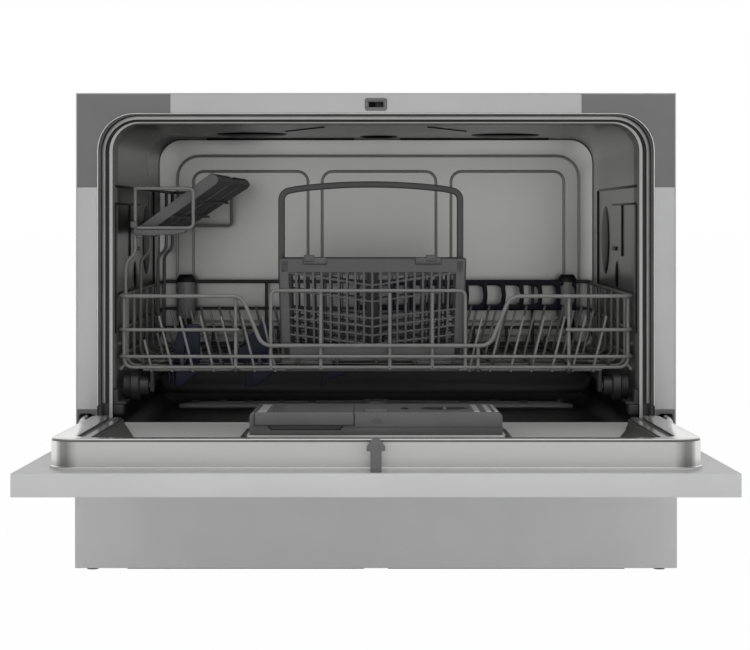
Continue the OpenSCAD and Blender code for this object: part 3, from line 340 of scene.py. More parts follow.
# %% Helpers for repeated bars and for strips along a path
def row_of(obj, count, step):
    """Repeats a shape at even steps."""
    modify(obj, "ARRAY", count=count, use_relative_offset=False, use_constant_offset=True,
           constant_offset_displace=step)
    return obj


def band(name, x0, x1, y0, y1, z0, z1, t, r):
    """A thin band that runs round a box between two heights."""
    def level(grow, z):
        ring = round_rect(x0 - grow, x1 + grow, y0 - grow, y1 + grow, max(r + grow, 0.6), 0, 4)
        return [Vector((p.x, p.z, z)) for p in ring]
    rings = [level(0, z0 + 0.4), level(0, z1 - 0.4), level(-0.4, z1), level(0.4 - t, z1), level(-t, z1 - 0.4),
             level(-t, z0 + 0.4), level(0.4 - t, z0), level(-0.4, z0), level(0, z0 + 0.4)]
    return loft(name, rings, start=False, end=False)


def strip_along(name, points, thick, y0, y1, r=1.2):
    """A flat strip whose middle follows points in X and Z."""
    section = round_rect(-thick / 2, thick / 2, y0, y1, r, 0, 3)
    rings = []
    for i, (x, z) in enumerate(points):
        a, b = points[max(i - 1, 0)], points[min(i + 1, len(points) - 1)]
        run = Vector((b[0] - a[0], b[1] - a[1])).normalized()
        rings.append([Vector((x + p.x * run.y, p.z, z - p.x * run.x)) for p in section])
    return loft(name, rings)
# %% [markdown]
# ## Finishes
# A finish is a colour, how shiny it is, and a small pattern at its real size. One function adds a node
# with its settings and links, and one recipe puts together what most of these finishes share: a slow
# variation of colour and gloss, and a fine grain that tilts the light. Patterns follow the object's own
# coordinates, so they stay on the piece when it moves.

# %% Colours, nodes and the shared recipe
def linear(colour):
    """An sRGB hex colour as the linear values that a shader takes."""
    parts = [int(colour[i:i + 2], 16) / 255 for i in (1, 3, 5)]
    return [p / 12.92 if p <= 0.04045 else ((p + 0.055) / 1.055) ** 2.4 for p in parts] + [1]


def add(tree, kind, inputs=None, **settings):
    """Adds a node, sets it up and links or fills its inputs."""
    made = tree.nodes.new(kind)
    for key, value in settings.items():
        setattr(made, key, value)
    for key, value in (inputs or {}).items():
        if isinstance(value, bpy.types.NodeSocket):
            tree.links.new(value, made.inputs[key])
        else:
            made.inputs[key].default_value = value
    return made


def per_mm(size):
    """The scale at which a pattern repeats about every so many millimetres."""
    return 1 / (size * MM)


def finish(name, light, dark, rough, metal=0.0, ior=1.5, patch=40, grain=1.0, bump=0.05, stretch=(1, 1, 1),
           gloss_spread=0.06, coat=0.0, specular=0.5):
    """A finish with a slow change between two near colours and a fine grain. rough is its middle roughness."""
    material = bpy.data.materials.new(name)
    material.use_nodes = True
    tree = material.node_tree
    shader = tree.nodes["Principled BSDF"]
    where = add(tree, "ShaderNodeTexCoord")
    turned = add(tree, "ShaderNodeMapping", {"Vector": where.outputs["Object"], "Scale": stretch})
    slow = add(tree, "ShaderNodeTexNoise", {"Vector": turned.outputs["Vector"], "Scale": per_mm(patch), "Detail": 4})
    ramp = add(tree, "ShaderNodeValToRGB", {"Fac": slow.outputs["Fac"]})
    ramp.color_ramp.elements[0].position = 0.3
    ramp.color_ramp.elements[1].position = 0.7
    ramp.color_ramp.elements[0].color = linear(dark)
    ramp.color_ramp.elements[1].color = linear(light)
    fine = add(tree, "ShaderNodeTexNoise", {"Vector": turned.outputs["Vector"], "Scale": per_mm(grain), "Detail": 2})
    gloss = add(tree, "ShaderNodeMapRange", {"Value": slow.outputs["Fac"], "To Min": rough - gloss_spread,
                                             "To Max": rough + gloss_spread})
    relief = add(tree, "ShaderNodeBump", {"Height": fine.outputs["Fac"], "Strength": bump, "Distance": 0.0002})
    tree.links.new(ramp.outputs["Color"], shader.inputs["Base Color"])
    tree.links.new(gloss.outputs["Result"], shader.inputs["Roughness"])
    tree.links.new(relief.outputs["Normal"], shader.inputs["Normal"])
    shader.inputs["Metallic"].default_value = metal
    if not metal:
        shader.inputs["IOR"].default_value = ior
    shader.inputs["Coat Weight"].default_value = coat
    shader.inputs["Specular IOR Level"].default_value = specular
    return material


# %% [markdown]
# The outside is sheet steel with a silver paint: small metal flakes under a satin lacquer. It scatters
# light evenly and shows no sharp reflection. The tub and the door's inner pan are plain stainless steel,
# cold-rolled, so they have a faint grain along the sheet and reflect softly. Zinc-plated steel is a
# little bluer and more spotted. The rack is steel wire dipped in grey nylon.

# %% Metals and coatings
silver_paint = finish("satin_silver_paint", "#B2B2B3", "#ACACAD", 0.42, metal=0.15, patch=60, grain=0.8, bump=0.08)
# A lighter copy of the same silver paint for the kick plate and the door panel: painted light, standing in for light
# that falls short under the open door.
silver_paint_lit_copy = finish("satin_silver_paint_painted_light", "#C0C0C1", "#BABABB", 0.42, metal=0.15, patch=60, grain=0.8, bump=0.08)
stainless = finish("cold_rolled_stainless", "#ACACAB", "#A4A4A3", 0.28, metal=1.0, patch=90, grain=1.2,
                   bump=0.015, stretch=(0.2, 1, 1), gloss_spread=0.015)
# A darker, duller copy of the tub's steel for the wall just behind the seal: painted shade.
mouth_shade_steel = finish("tub_mouth_painted_shade", "#929291", "#8A8A89", 0.5, metal=0.3, patch=90, grain=1.2, bump=0.03,
                     stretch=(0.2, 1, 1), gloss_spread=0.03)
pan_steel = finish("pressed_stainless", "#BABAB9", "#B2B2B1", 0.4, metal=0.45, patch=70, grain=1.2,
                   bump=0.1, stretch=(0.2, 1, 1), gloss_spread=0.05)
# A near-black steel for the tub's dimples, step, creases and wall ribs: painted shade and dark reflection.
shade_and_reflection_steel = finish("stainless_painted_shade_and_reflection", "#262626", "#1C1C1C", 0.34, metal=0.8, patch=30, grain=1.0,
                    bump=0.05, gloss_spread=0.04)
# A darker copy of the pan's steel for its grooves and walls: painted shade.
pan_wall_shade_steel = finish("pan_steel_painted_shade", "#6A6A69", "#5C5C5B", 0.34, metal=0.7, patch=40, grain=1.0, bump=0.08,
                    gloss_spread=0.04)
# A lighter, less metallic copy of the pan's steel for its flat floor: painted light from above.
pan_floor_light_steel = finish("pan_floor_painted_light", "#CDCDCC", "#C6C6C5", 0.42, metal=0.12, patch=70, grain=1.2, bump=0.1,
                     stretch=(0.2, 1, 1), gloss_spread=0.05)
# The brightest copy of the pan's steel for the rim's top and its ledge: painted highlight.
pan_rim_highlight_steel = finish("pan_rim_painted_highlight", "#DADAD9", "#D2D2D1", 0.2, metal=1.0, patch=70, grain=1.2, bump=0.04,
                   stretch=(0.2, 1, 1), gloss_spread=0.03)
# A lighter copy of that band's finish for its faces under the ceiling, so the painted shade meets the ceiling without a
# step.
mouth_ceiling_lighter_steel = finish("tub_mouth_ceiling_painted_lighter", "#B4B4B3", "#ACACAB", 0.5, metal=0.3, patch=90, grain=1.2,
                       bump=0.03, stretch=(0.2, 1, 1), gloss_spread=0.03)
# The pan's drawn corners take painted reflection and shade: along the corner rows' bend weight the colour runs darker,
# then brighter, and the steel turns fully metallic.
tree = pan_steel.node_tree
shader = tree.nodes["Principled BSDF"]
bend = add(tree, "ShaderNodeAttribute", attribute_name="bend")
corner_painted_reflection = add(tree, "ShaderNodeValToRGB", {"Fac": bend.outputs["Fac"]})
corner_reflection_stops = [(0.16, "#A2A2A1"), (0.27, "#7E7E7D"), (0.4, "#848483"), (0.47, "#A8A8A7"), (0.57, "#E0E0DF"), (1, "#E6E6E5")]
for k, (place, colour) in enumerate(corner_reflection_stops):
    stop = corner_painted_reflection.color_ramp.elements[k] if k < 2 else corner_painted_reflection.color_ramp.elements.new(place)
    stop.position, stop.color = place, linear(colour)
share = add(tree, "ShaderNodeMapRange", {"Value": bend.outputs["Fac"], "From Min": 0.03, "From Max": 0.16})
blend = add(tree, "ShaderNodeMix", {0: share.outputs["Result"], 6: shader.inputs["Base Color"].links[0].from_socket,
                                    7: corner_painted_reflection.outputs["Color"]}, data_type="RGBA")
tree.links.new(blend.outputs[2], shader.inputs["Base Color"])
metal = add(tree, "ShaderNodeMapRange", {"Value": bend.outputs["Fac"], "From Min": 0.03, "From Max": 0.16,
                                         "To Min": 0.45, "To Max": 1.0})
tree.links.new(metal.outputs["Result"], shader.inputs["Metallic"])
# A bright finish: a painted highlight along the frame's rounded opening lip, and the bright steel of the wall studs.
bright_edge = finish("bright_steel_and_lip_highlight", "#DCDCDB", "#D2D2D1", 0.3, metal=0.4, patch=20, grain=0.6, bump=0.05,
                     gloss_spread=0.04)
flange_steel = finish("brushed_flange_steel", "#B8B8B7", "#AEAEAD", 0.3, metal=1.0, patch=30, grain=0.6,
                      bump=0.08, gloss_spread=0.04)
plated = finish("zinc_plated_steel", "#B4B5B8", "#A2A3A8", 0.4, metal=0.9, patch=12, grain=0.6, bump=0.1)
# A darker copy of the grey nylon coat for wires deep in the rack: painted shade.
shaded_nylon_wire = finish("grey_nylon_coat_painted_shade", "#4E4E4D", "#464645", 0.45, patch=15, grain=0.8, bump=0.15,
                    specular=0.4)
nylon_wire = finish("grey_nylon_coat", "#7C7C7B", "#727271", 0.42, patch=15, grain=0.8, bump=0.15, specular=0.4)

# %% [markdown]
# Everything else is moulded. Polypropylene stands the heat of the wash: it is satin and has a fine spark
# texture from its mould. The corner trims and the fascia are ABS, which is smoother. Seals are rubber,
# which is matt and picks up dust.

# %% Plastics, rubber and glass
trim_abs = finish("dark_grey_abs", "#696969", "#656565", 0.45, ior=1.54, patch=50, grain=0.9, bump=0.1)
# A darker grey for the frame's return inside the opening: painted shade on the frame's sheet.
painted_shade_return = finish("frame_return_painted_shade", "#5F5F60", "#565657", 0.5, patch=25, grain=0.9, bump=0.1)
hook_pp = finish("mid_grey_acetal", "#5C5C5D", "#565657", 0.42, ior=1.48, patch=20, grain=0.8, bump=0.1)
# A darker copy of the basket's plastic: painted shade on the basket's inner lattice; the wheel brackets and the sump
# use it as plain dark plastic.
dark_and_shaded_smoke_pp = finish("shaded_smoke_polypropylene", "#333334", "#2D2D2E", 0.5, ior=1.49, patch=30, grain=0.9,
                    bump=0.12, specular=0.3)
soft_grey_pp = finish("pale_grey_polypropylene", "#8C8C8D", "#848485", 0.4, ior=1.49, patch=30, grain=0.9, bump=0.12)
handle_pp = finish("smoke_grey_handle", "#404041", "#3A3A3B", 0.44, ior=1.49, patch=25, grain=0.9, bump=0.12)
# Two near-black finishes for the sheet in the tub's bottom: painted shade, the floor's one a little lighter.
basin_floor_shade_pp = finish("tub_floor_lighter_painted_shade", "#4A4A4B", "#434344", 0.38, ior=1.49, patch=45, grain=1.2, bump=0.1)
basin_shade_pp = finish("tub_bottom_painted_shade", "#1C1C1D", "#161617", 0.34, ior=1.49, patch=45, grain=1.2, bump=0.1)
grey_pp = finish("grey_polypropylene", "#5A5A5B", "#545455", 0.46, ior=1.49, patch=35, grain=0.9, bump=0.15)
pale_pp = finish("light_grey_polypropylene", "#5C5C5D", "#565657", 0.46, ior=1.49, patch=35, grain=0.9, bump=0.15)
basket_pp = finish("smoke_grey_polypropylene", "#505051", "#4A4A4B", 0.42, ior=1.49, patch=30, grain=0.9, bump=0.12)
near_black = finish("near_black_polypropylene", "#2A2A2B", "#242425", 0.48, ior=1.49, patch=30, grain=0.9, bump=0.15)
navy_pp = finish("navy_polypropylene", "#0F1024", "#0B0C1C", 0.46, ior=1.49, patch=30, grain=0.9, bump=0.12,
                 specular=0.3)
silver_abs = finish("silver_abs", "#A8A8AA", "#A0A0A2", 0.36, ior=1.54, patch=20, grain=0.7, bump=0.08)
rubber = finish("nitrile_rubber", "#2C2C2C", "#232323", 0.7, ior=1.52, patch=18, grain=0.7, bump=0.25)
black_gloss = finish("gloss_black_acrylic", "#0B0B0D", "#08080A", 0.12, ior=1.49, patch=60, grain=4, bump=0.02,
                     gloss_spread=0.03, coat=0.4)
board_green = finish("fibreglass_board", "#1F4A33", "#183C29", 0.45, ior=1.55, patch=4, grain=0.7, bump=0.2)
print("finishes:", len(bpy.data.materials))

# %% [markdown]
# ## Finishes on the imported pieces
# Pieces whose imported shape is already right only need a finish. Those that a later cell replaces by a
# more detailed piece get one too, so nothing is ever left plain.

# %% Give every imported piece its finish
slot_finish = {
    "silver_paint": silver_paint, "stainless": stainless, "plated_steel": plated, "coated_wire": nylon_wire,
    "dark_trim": trim_abs, "grey_plastic": grey_pp, "dark_plastic": near_black, "navy_plastic": navy_pp,
    "silver_plastic": silver_abs, "rubber": rubber, "black_gloss": black_gloss, "board": board_green,
}
for part in frame["record"]["subparts"]:
    mesh = nodes[part["node"]].data
    mesh.materials.clear()
    mesh.materials.append(slot_finish[part["material_slot"]])
print("dressed", len(nodes), "packed pieces")

# %% [markdown]
# ## The studio
# A plain pale floor runs out of sight. It shows white to the camera and still takes the soft shadow
# under the machine. The machine stands in an even pale sky that its metal reflects. A wide soft light
# hangs in front and above, and a long low strip stands far in front, so that the plate under the open
# door and the back of the tub get light as well.

# %% Floor, sky and lights
SKY, KEY, STRIP, SIDE = 0.5, 16, 30, 3
bpy.ops.mesh.primitive_plane_add(size=60, location=(0, 0, 0))
floor = bpy.context.object
floor.name = "floor"
paper = bpy.data.materials.new("white_paper_sweep")
paper.use_nodes = True
tree = paper.node_tree
tree.nodes["Principled BSDF"].inputs["Roughness"].default_value = 0.9
speck = add(tree, "ShaderNodeTexNoise", {"Scale": per_mm(300)})
shade = add(tree, "ShaderNodeMapRange", {"Value": speck.outputs["Fac"], "To Min": 0.86, "To Max": 0.9})
tree.links.new(shade.outputs["Result"], tree.nodes["Principled BSDF"].inputs["Base Color"])
glow = add(tree, "ShaderNodeEmission", {"Color": (1, 1, 1, 1), "Strength": 1.0})
ray = add(tree, "ShaderNodeLightPath")
seen = add(tree, "ShaderNodeMath", {0: ray.outputs["Is Camera Ray"], 1: ray.outputs["Is Glossy Ray"]},
           operation="MAXIMUM")
share = add(tree, "ShaderNodeMath", {0: seen.outputs["Value"], 1: 0.985}, operation="MULTIPLY")
mixed = add(tree, "ShaderNodeMixShader", {"Fac": share.outputs["Value"],
                                          1: tree.nodes["Principled BSDF"].outputs["BSDF"],
                                          2: glow.outputs["Emission"]})
tree.links.new(mixed.outputs["Shader"], tree.nodes["Material Output"].inputs["Surface"])
floor.data.materials.append(paper)

world = bpy.data.worlds.new("pale_sky")
bpy.context.scene.world = world
world.use_nodes = True
tree = world.node_tree
ray = add(tree, "ShaderNodeLightPath")
mirror = add(tree, "ShaderNodeMath", {0: ray.outputs["Is Camera Ray"], 1: ray.outputs["Is Glossy Ray"]},
             operation="MAXIMUM")
seen = add(tree, "ShaderNodeMapRange", {"Value": mirror.outputs["Value"], "To Min": SKY, "To Max": 1.0})
sky = tree.nodes["Background"]
sky.inputs["Color"].default_value = (1, 1, 1, 1)
tree.links.new(seen.outputs["Result"], sky.inputs["Strength"])
bpy.context.scene.view_settings.view_transform = "Standard"


def soft_light(name, spot, target, size, power):
    """A rectangular soft light at a spot, turned to a target."""
    lamp = bpy.data.lights.new(name, "AREA")
    lamp.shape = "RECTANGLE"
    lamp.size, lamp.size_y = size
    lamp.energy = power
    obj = bpy.data.objects.new(name, lamp)
    bpy.context.scene.collection.objects.link(obj)
    obj.location = spot
    obj.rotation_euler = (Vector(target) - Vector(spot)).to_track_quat("-Z", "Y").to_euler()
    return obj


soft_light("key_light", (0.3, -2.0, 3.0), (0, -0.1, 0.2), (2.4, 1.6), KEY)
strip = soft_light("low_strip", (0.4, -3.0, 0.22), (0.1, 0, 0.2), (4.0, 0.36), STRIP)
strip.visible_glossy = False
soft_light("left_fill", (-2.6, -1.4, 1.2), (0, 0, 0.2), (1.6, 1.6), SIDE)
soft_light("right_fill", (2.6, -1.4, 1.2), (0, 0, 0.2), (1.6, 1.6), SIDE)
print("studio ready")
# %% [markdown]
# ## The cabinet's outside
# The casing, the kick plate and the front frame are folded from painted sheet. Folded edges are never
# sharp, and their small radius is what catches the light. These shapes are right as packed, so a merged
# copy of each gets its edges rounded with a bevel.

# %% Casing, kick plate, front frame and base
settle(softened("casing_shell", "outer_casing", 0.45), "cabinet", silver_paint, stands_for=["outer_casing"])
# The kick plate takes the lighter copy of the silver paint: painted light.
settle(softened("kick_plate_folded", "kick_plate", 0.9, 3), "cabinet", silver_paint_lit_copy, stands_for=["kick_plate"])
settle(softened("front_frame_pressed", "front_frame", 0.35, 2), "cabinet", silver_paint, stands_for=["front_frame"])
settle(softened("base_tray_moulded", "base_tray", 0.5), "cabinet", near_black, stands_for=["base_tray"])

# %% [markdown]
# The two corner trims clip over the frame. Their free ends are rounded off in plan, so the edges that run
# front to back there are picked by their place and bevelled wider than the rest.

# %% Corner trims
trims = softened("corner_trims_moulded", "corner_trims", 0)
low, high = drawn_box("corner_trims")
bpy.ops.object.mode_set(mode="EDIT")
bpy.ops.mesh.select_mode(type="EDGE")
bpy.ops.mesh.select_all(action="DESELECT")
bm = bmesh.from_edit_mesh(trims.data)
inner = min(abs(v.co.x) for v in bm.verts)
for edge in bm.edges:
    a, b = (v.co for v in edge.verts)
    along = abs(a.x - b.x) < 0.01 and abs(a.z - b.z) < 0.01
    edge.select = along and (abs(abs(a.x) - inner) < 0.1 or abs(a.z - low.z) < 0.1
                             or (abs(a.z - high.z) < 0.1 and abs(abs(a.x) - high.x) < 0.1))
bpy.ops.mesh.bevel(offset=1.6, segments=4, affect="EDGES")
bpy.ops.object.mode_set(mode="OBJECT")
soften(trims, 0.25, 2)
settle(trims, "cabinet", trim_abs, stands_for=["corner_trims"])

# %% [markdown]
# ## Levelling feet
# Each foot is a moulded disc with a knurled rim for the fingers, on a threaded stud. One is spun from a
# ring whose radius goes in and out, and the other three are copies.

# %% Levelling feet
foot_low, foot_high = drawn_box("levelling_feet")
FOOT_R = 6.0
FOOT_H = 5.4
KNURLS = 18
feet = []
def knurled(r, z):
    """A ring in the floor's plane with fine ribs."""
    turns = [2 * math.pi * k / (KNURLS * 4) for k in range(KNURLS * 4)]
    return [Vector(((r - (0.35 if k % 4 < 2 else 0)) * math.cos(a), (r - (0.35 if k % 4 < 2 else 0)) * math.sin(a), z))
            for k, a in enumerate(turns)]


for x in (foot_low.x + FOOT_R, foot_high.x - FOOT_R):
    for y in (foot_low.y + FOOT_R, foot_high.y - FOOT_R):
        foot = loft("foot", [[Vector(p.xy.to_tuple() + (0,)) * 0.86 for p in knurled(FOOT_R, 0)],
                             knurled(FOOT_R, 0.9), knurled(FOOT_R, FOOT_H - 1),
                             [Vector((p.x * 0.9, p.y * 0.9, FOOT_H)) for p in knurled(FOOT_R, FOOT_H)]])
        foot.data.transform(Matrix.Translation((x, y, 0)))
        bpy.ops.mesh.primitive_cylinder_add(radius=3, depth=14, vertices=24, location=(x, y, FOOT_H + 6.9))
        stud = bpy.context.object
        bpy.ops.object.transform_apply(location=True)
        feet += [foot, stud]
settle(join("feet_knurled", feet), "cabinet", near_black, stands_for=["levelling_feet"], smooth=25)

# %% [markdown]
# ## The tub
# The tub is pressed and welded from thin stainless sheet. Its corners are generous, its back wall turns
# into the sides through a fillet, and shallow grooves pressed into the back wall keep it stiff. The walls
# are one ring extruded inwards, and the back wall is filled round the grooves, each of which is three
# rings: two in the wall and one at its bottom.

# %% Tub walls and back wall
tub_low, tub_high = drawn_box("tub")
TUB_HALF, TUB_TOP, TUB_FLOOR = 246, 412.5, 112
TUB_BACK = tub_high.y - 1
MOUTH = 24
TOP_R, LOW_R = 27, 20
BACK_FILLET = 1.5
FOOT_FILLET = 24


def tub_ring(y, inset=0.0, lift=None):
    """The tub's section at one depth, drawn in by an inset. lift raises its floor by another amount."""
    top_r, low_r = max(TOP_R - inset, 10), max(LOW_R - inset, 8)
    return round_rect(-TUB_HALF + inset, TUB_HALF - inset, TUB_FLOOR + (inset if lift is None else lift),
                      TUB_TOP - inset, (low_r, top_r, top_r, low_r), y, 7)


bm = bmesh.new()
rings = [tub_ring(MOUTH + 0.8, -0.7), tub_ring(MOUTH + 1.4, -0.2), tub_ring(MOUTH + 2.4)]
rings += [tub_ring(y) for y in (110, 240, 360, TUB_BACK - FOOT_FILLET)]
for k in range(1, 13):
    out = FOOT_FILLET * math.sin(math.radians(7.5 * k))
    lift = FOOT_FILLET * (1 - math.cos(math.radians(7.5 * k)))
    near = max(0.0, out - FOOT_FILLET + BACK_FILLET)
    rings.append(tub_ring(TUB_BACK - FOOT_FILLET + out, BACK_FILLET - math.sqrt(BACK_FILLET ** 2 - near ** 2), lift))
loops = [looped(bm, ring) for ring in rings]
for one, two in zip(loops, loops[1:]):
    bridged(bm, one, two)
wall = loops[-1]


def groove(x0, x1, z0, z1, r, width=3.4, depth=2.2):
    """A rounded groove pressed into the back wall. Gives its outer and inner ring."""
    half = width / 2
    outer = looped(bm, round_rect(x0 - half, x1 + half, z0 - half, z1 + half, r + half, TUB_BACK, 6))
    slope = looped(bm, round_rect(x0 - half / 2, x1 + half / 2, z0 - half / 2, z1 + half / 2, r + half / 2,
                                  TUB_BACK + depth * 0.8, 6))
    bottom = looped(bm, round_rect(x0, x1, z0, z1, r, TUB_BACK + depth, 6))
    rise = looped(bm, round_rect(x0 + half / 2, x1 - half / 2, z0 + half / 2, z1 - half / 2, r - half / 2,
                                 TUB_BACK + depth * 0.8, 6))
    inner = looped(bm, round_rect(x0 + half, x1 - half, z0 + half, z1 - half, r - half, TUB_BACK, 6))
    for one, two in ((outer, slope), (slope, bottom), (bottom, rise), (rise, inner)):
        bridged(bm, one, two)
    return outer, inner


big_out, big_in = groove(-225, 230, 190, 393.5, 25)
filled(bm, wall, big_out)
holes = []
for x0, x1 in ((-207, -77), (-61, 68), (85, 213)):
    out, inside = groove(x0, x1, 206, 376, 12)
    filled(bm, inside)
    holes.append(out)
filled(bm, big_in, *holes)
mesh = bpy.data.meshes.new("tub_pressed")
bm.to_mesh(mesh)
bm.free()
tub = bpy.data.objects.new("tub_pressed", mesh)
bpy.context.scene.collection.objects.link(tub)
clean(tub)
print("tub surface", len(mesh.polygons))

# %% [markdown]
# The sheet gets its thickness on the outside, away from the water. The sump hole is cut last, and the
# folded sill that keeps the water in at the door is a strip of its own, welded on.

# %% Thickness, sump hole, mouth flange and sill
alone(tub)
facing = max(tub.data.polygons, key=lambda p: abs(p.normal.y) * p.area).normal.y
if facing > 0:
    tub.data.flip_normals()
print("back wall looked", round(facing, 2))
modify(tub, "SOLIDIFY", thickness=1.0, offset=-1.0)
SPRAY_Y = drawn_box("spray_post")[0].y / 2 + drawn_box("spray_post")[1].y / 2
plate_low, plate_high = drawn_box("filter_plate")
bpy.ops.mesh.primitive_cylinder_add(radius=(plate_high.x - plate_low.x) / 2 - 8, depth=20, vertices=64,
                                    location=(0, (plate_low.y + plate_high.y) / 2, TUB_FLOOR))
cutter = bpy.context.object
modify(tub, "BOOLEAN", object=cutter, operation="DIFFERENCE", solver="EXACT")
bpy.data.objects.remove(cutter)
flange = arch_path(251.0, 118.2, 417.4, 31)
inner_half, inner_top = 244.6, 411.4
rings = []
for (x, z), n in flange:
    k = 25.6 / 31
    if abs(x) < 251 - 31 + 1e-6 or z > 417.4 - 31:
        cx, cz = math.copysign(251 - 31, x), 417.4 - 31
        inside = (math.copysign(inner_half - 25.6, x) + (x - cx) * k, inner_top - 25.6 + (z - cz) * k)
    else:
        inside = (math.copysign(inner_half, x), z)
    rings.append([Vector((x, MOUTH, z)), Vector((inside[0], MOUTH, inside[1])),
                  Vector((inside[0], MOUTH + 1, inside[1])), Vector((x, MOUTH + 1, z))])
mouth_flange = loft("mouth_flange", rings)
sill_line = [(24, 112), (20.2, 112), (19.4, 112.3), (19, 113.2), (19, 117.6), (18.8, 118), (18.2, 118), (18, 117.6),
             (18, 97), (19, 97), (19, 111), (24, 111)]
sill = loft("sill", [[Vector((x, y, z)) for y, z in sill_line] for x in (-226, 226)])
soften(sill, 0.2, 2)
settle(join("tub_pressed", [tub, mouth_flange, sill]), "cabinet", stainless, stands_for=["tub"],
       smooth=30)

# %% [markdown]
# ## Round the mouth
# Looking into the gap between frame and tub, one sees several narrow bands: a painted highlight along the
# frame's rounded lip, the return of the frame with its rivets, darkened with painted shade, a bright steel
# flange that the door's rim closes against, and the black lip of the door seal. Each is a small profile
# that follows the arch of the opening. Just behind the seal the tub's wall starts with a band of painted shade.

# %% Flange, seal and return
RING_LOW = 151.5


def ring_band(name, first, last, y0, y1, r=0.35, low=RING_LOW):
    """A band between two arches, each given by its half width, top and corner radius, and between two depths."""
    rings = []
    for (p, _), (q, _) in zip(arch_path(first[0], low, first[1], first[2], 10),
                              arch_path(last[0], low, last[1], last[2], 10)):
        p, q = Vector(p), Vector(q)
        run = (q - p) / (q - p).length
        a, b = p + run * r, q - run * r
        rings.append([Vector((c.x, y, c.y)) for c, y in ((a, y0), (b, y0), (q, y0 + r), (q, y1), (p, y1), (p, y0 + r))])
    return loft(name, rings)


# A bright band on the frame's rounded lip: painted highlight on the painted sheet.
settle(ring_band("frame_opening_lip", (255.6, 419.5, 34), (254.8, 418.8, 33.3), 0.1, 2.2, 0.2), "cabinet", bright_edge)
channel = ring_band("frame_return", (255.5, 419.4, 34), (253.7, 417.8, 32.6), 8.5, 12)
parts = [channel]
for x, z in ((-254.6, 328), (-254.6, 236), (-254.4, 170), (254.6, 328), (254.6, 170), (-120, 418.6), (30, 418.6),
             (175, 418.6)):
    bpy.ops.mesh.primitive_uv_sphere_add(segments=16, ring_count=8, radius=1.2, location=(x, 8.6, z),
                                         scale=(0.8, 0.5, 1))
    rivet = bpy.context.object
    bpy.ops.object.transform_apply(location=True, rotation=True, scale=True)
    parts.append(rivet)
settle(join("frame_return_riveted", parts), "cabinet", painted_shade_return)
settle(ring_band("mouth_flange_lip", (254.2, 418, 33), (250.8, 414.4, 30), 22.6, 23.8, 0.4), "cabinet", flange_steel)
parts = [ring_band("seal_lip", (250.7, 414.3, 29.6), (247.7, 412.5, 27.4), 22.4, 24, 0.6, 126),
         ring_band("seal_foot", (254.9, 418.8, 33.6), (254.3, 418.1, 33), 12.2, 24, 0.1, 126)]
sill_seal = block("sill_seal", -225, 225, 17, 18, 97.2, 117.4)
soften(sill_seal, 0.4, 2)
settle(join("door_seal_moulded", parts + [sill_seal]), "cabinet", rubber, stands_for=["tub_gasket"])
settle(ring_band("tub_edge_bead", (247.6, 412.9, 27.4), (246.5, 412, 26.7), 23.7, 24.8, 0.25), "cabinet",
       flange_steel)
# The tub's wall just behind the seal is darkened with painted shade; where the band runs under the ceiling it takes the
# lighter copy.
mouth = ring_band("painted_shade_band_at_mouth", (246.1, 412.6, 26.6), (245.7, 412.2, 26.3), 24.4, 72, 0.15)
settle(mouth, "cabinet", mouth_shade_steel)
mouth.data.materials.append(mouth_ceiling_lighter_steel)
for face in mouth.data.polygons:
    if (IN_CABINET.inverted() @ face.center).z > 411.4:
        face.material_index = 1

# %% [markdown]
# ## Where the door swings and closes
# The feet of the front frame end in dark moulded covers. Each has a slot through which the door's curved
# hinge arm passes, and its inner side steps back to meet the seal. The latch mouth in the frame's top is
# framed by a grey bezel with a brighter lining.

# %% Hinge covers and latch bezel
covers = softened("hinge_covers_moulded", "hinge_covers", 0)
cover_low, cover_high = drawn_box("hinge_covers")
for side in (-1, 1):
    cutter = block("cutter", min(side * 258.9, side * 272.3), max(side * 258.9, side * 272.3), -2, 3.5, 112, 144.2)
    soften(cutter, 3, 4)
    modify(covers, "BOOLEAN", object=cutter, operation="DIFFERENCE", solver="EXACT")
    bpy.data.objects.remove(cutter)
clean(covers)
soften(covers, 0.4, 2)
settle(covers, "cabinet", pale_pp, stands_for=["hinge_covers"])
steps = []
for side in (-1, 1):
    step = block("step", min(side * 252.2, side * 255.5), max(side * 252.2, side * 255.5), 3, 20, 104.5, 151.2)
    soften(step, 0.8, 3)
    steps.append(step)
    step = block("step", min(side * 248.3, side * 255), max(side * 248.3, side * 255), 22.3, 24.2, 119, 151.2)
    soften(step, 0.5, 2)
    steps.append(step)
settle(join("hinge_cover_steps", steps), "cabinet", near_black)
settle(softened("hinge_brackets_stamped", "hinge_brackets", 0.4), "cabinet", plated, stands_for=["hinge_brackets"])


def frame_ring(name, half_x, half_z, width, z, y0, y1, r):
    """A rounded rectangular frame round the latch mouth."""
    def level(inset, y):
        return round_rect(-half_x + inset, half_x - inset, z - half_z + inset, z + half_z - inset,
                          max(r - inset, 0.3), y, 4)
    rings = [level(0, y1), level(0, y0 + 0.4), level(0.4, y0), level(width - 0.4, y0), level(width, y0 + 0.4),
             level(width, y1), level(0, y1)]
    return loft(name, rings, start=False, end=False)


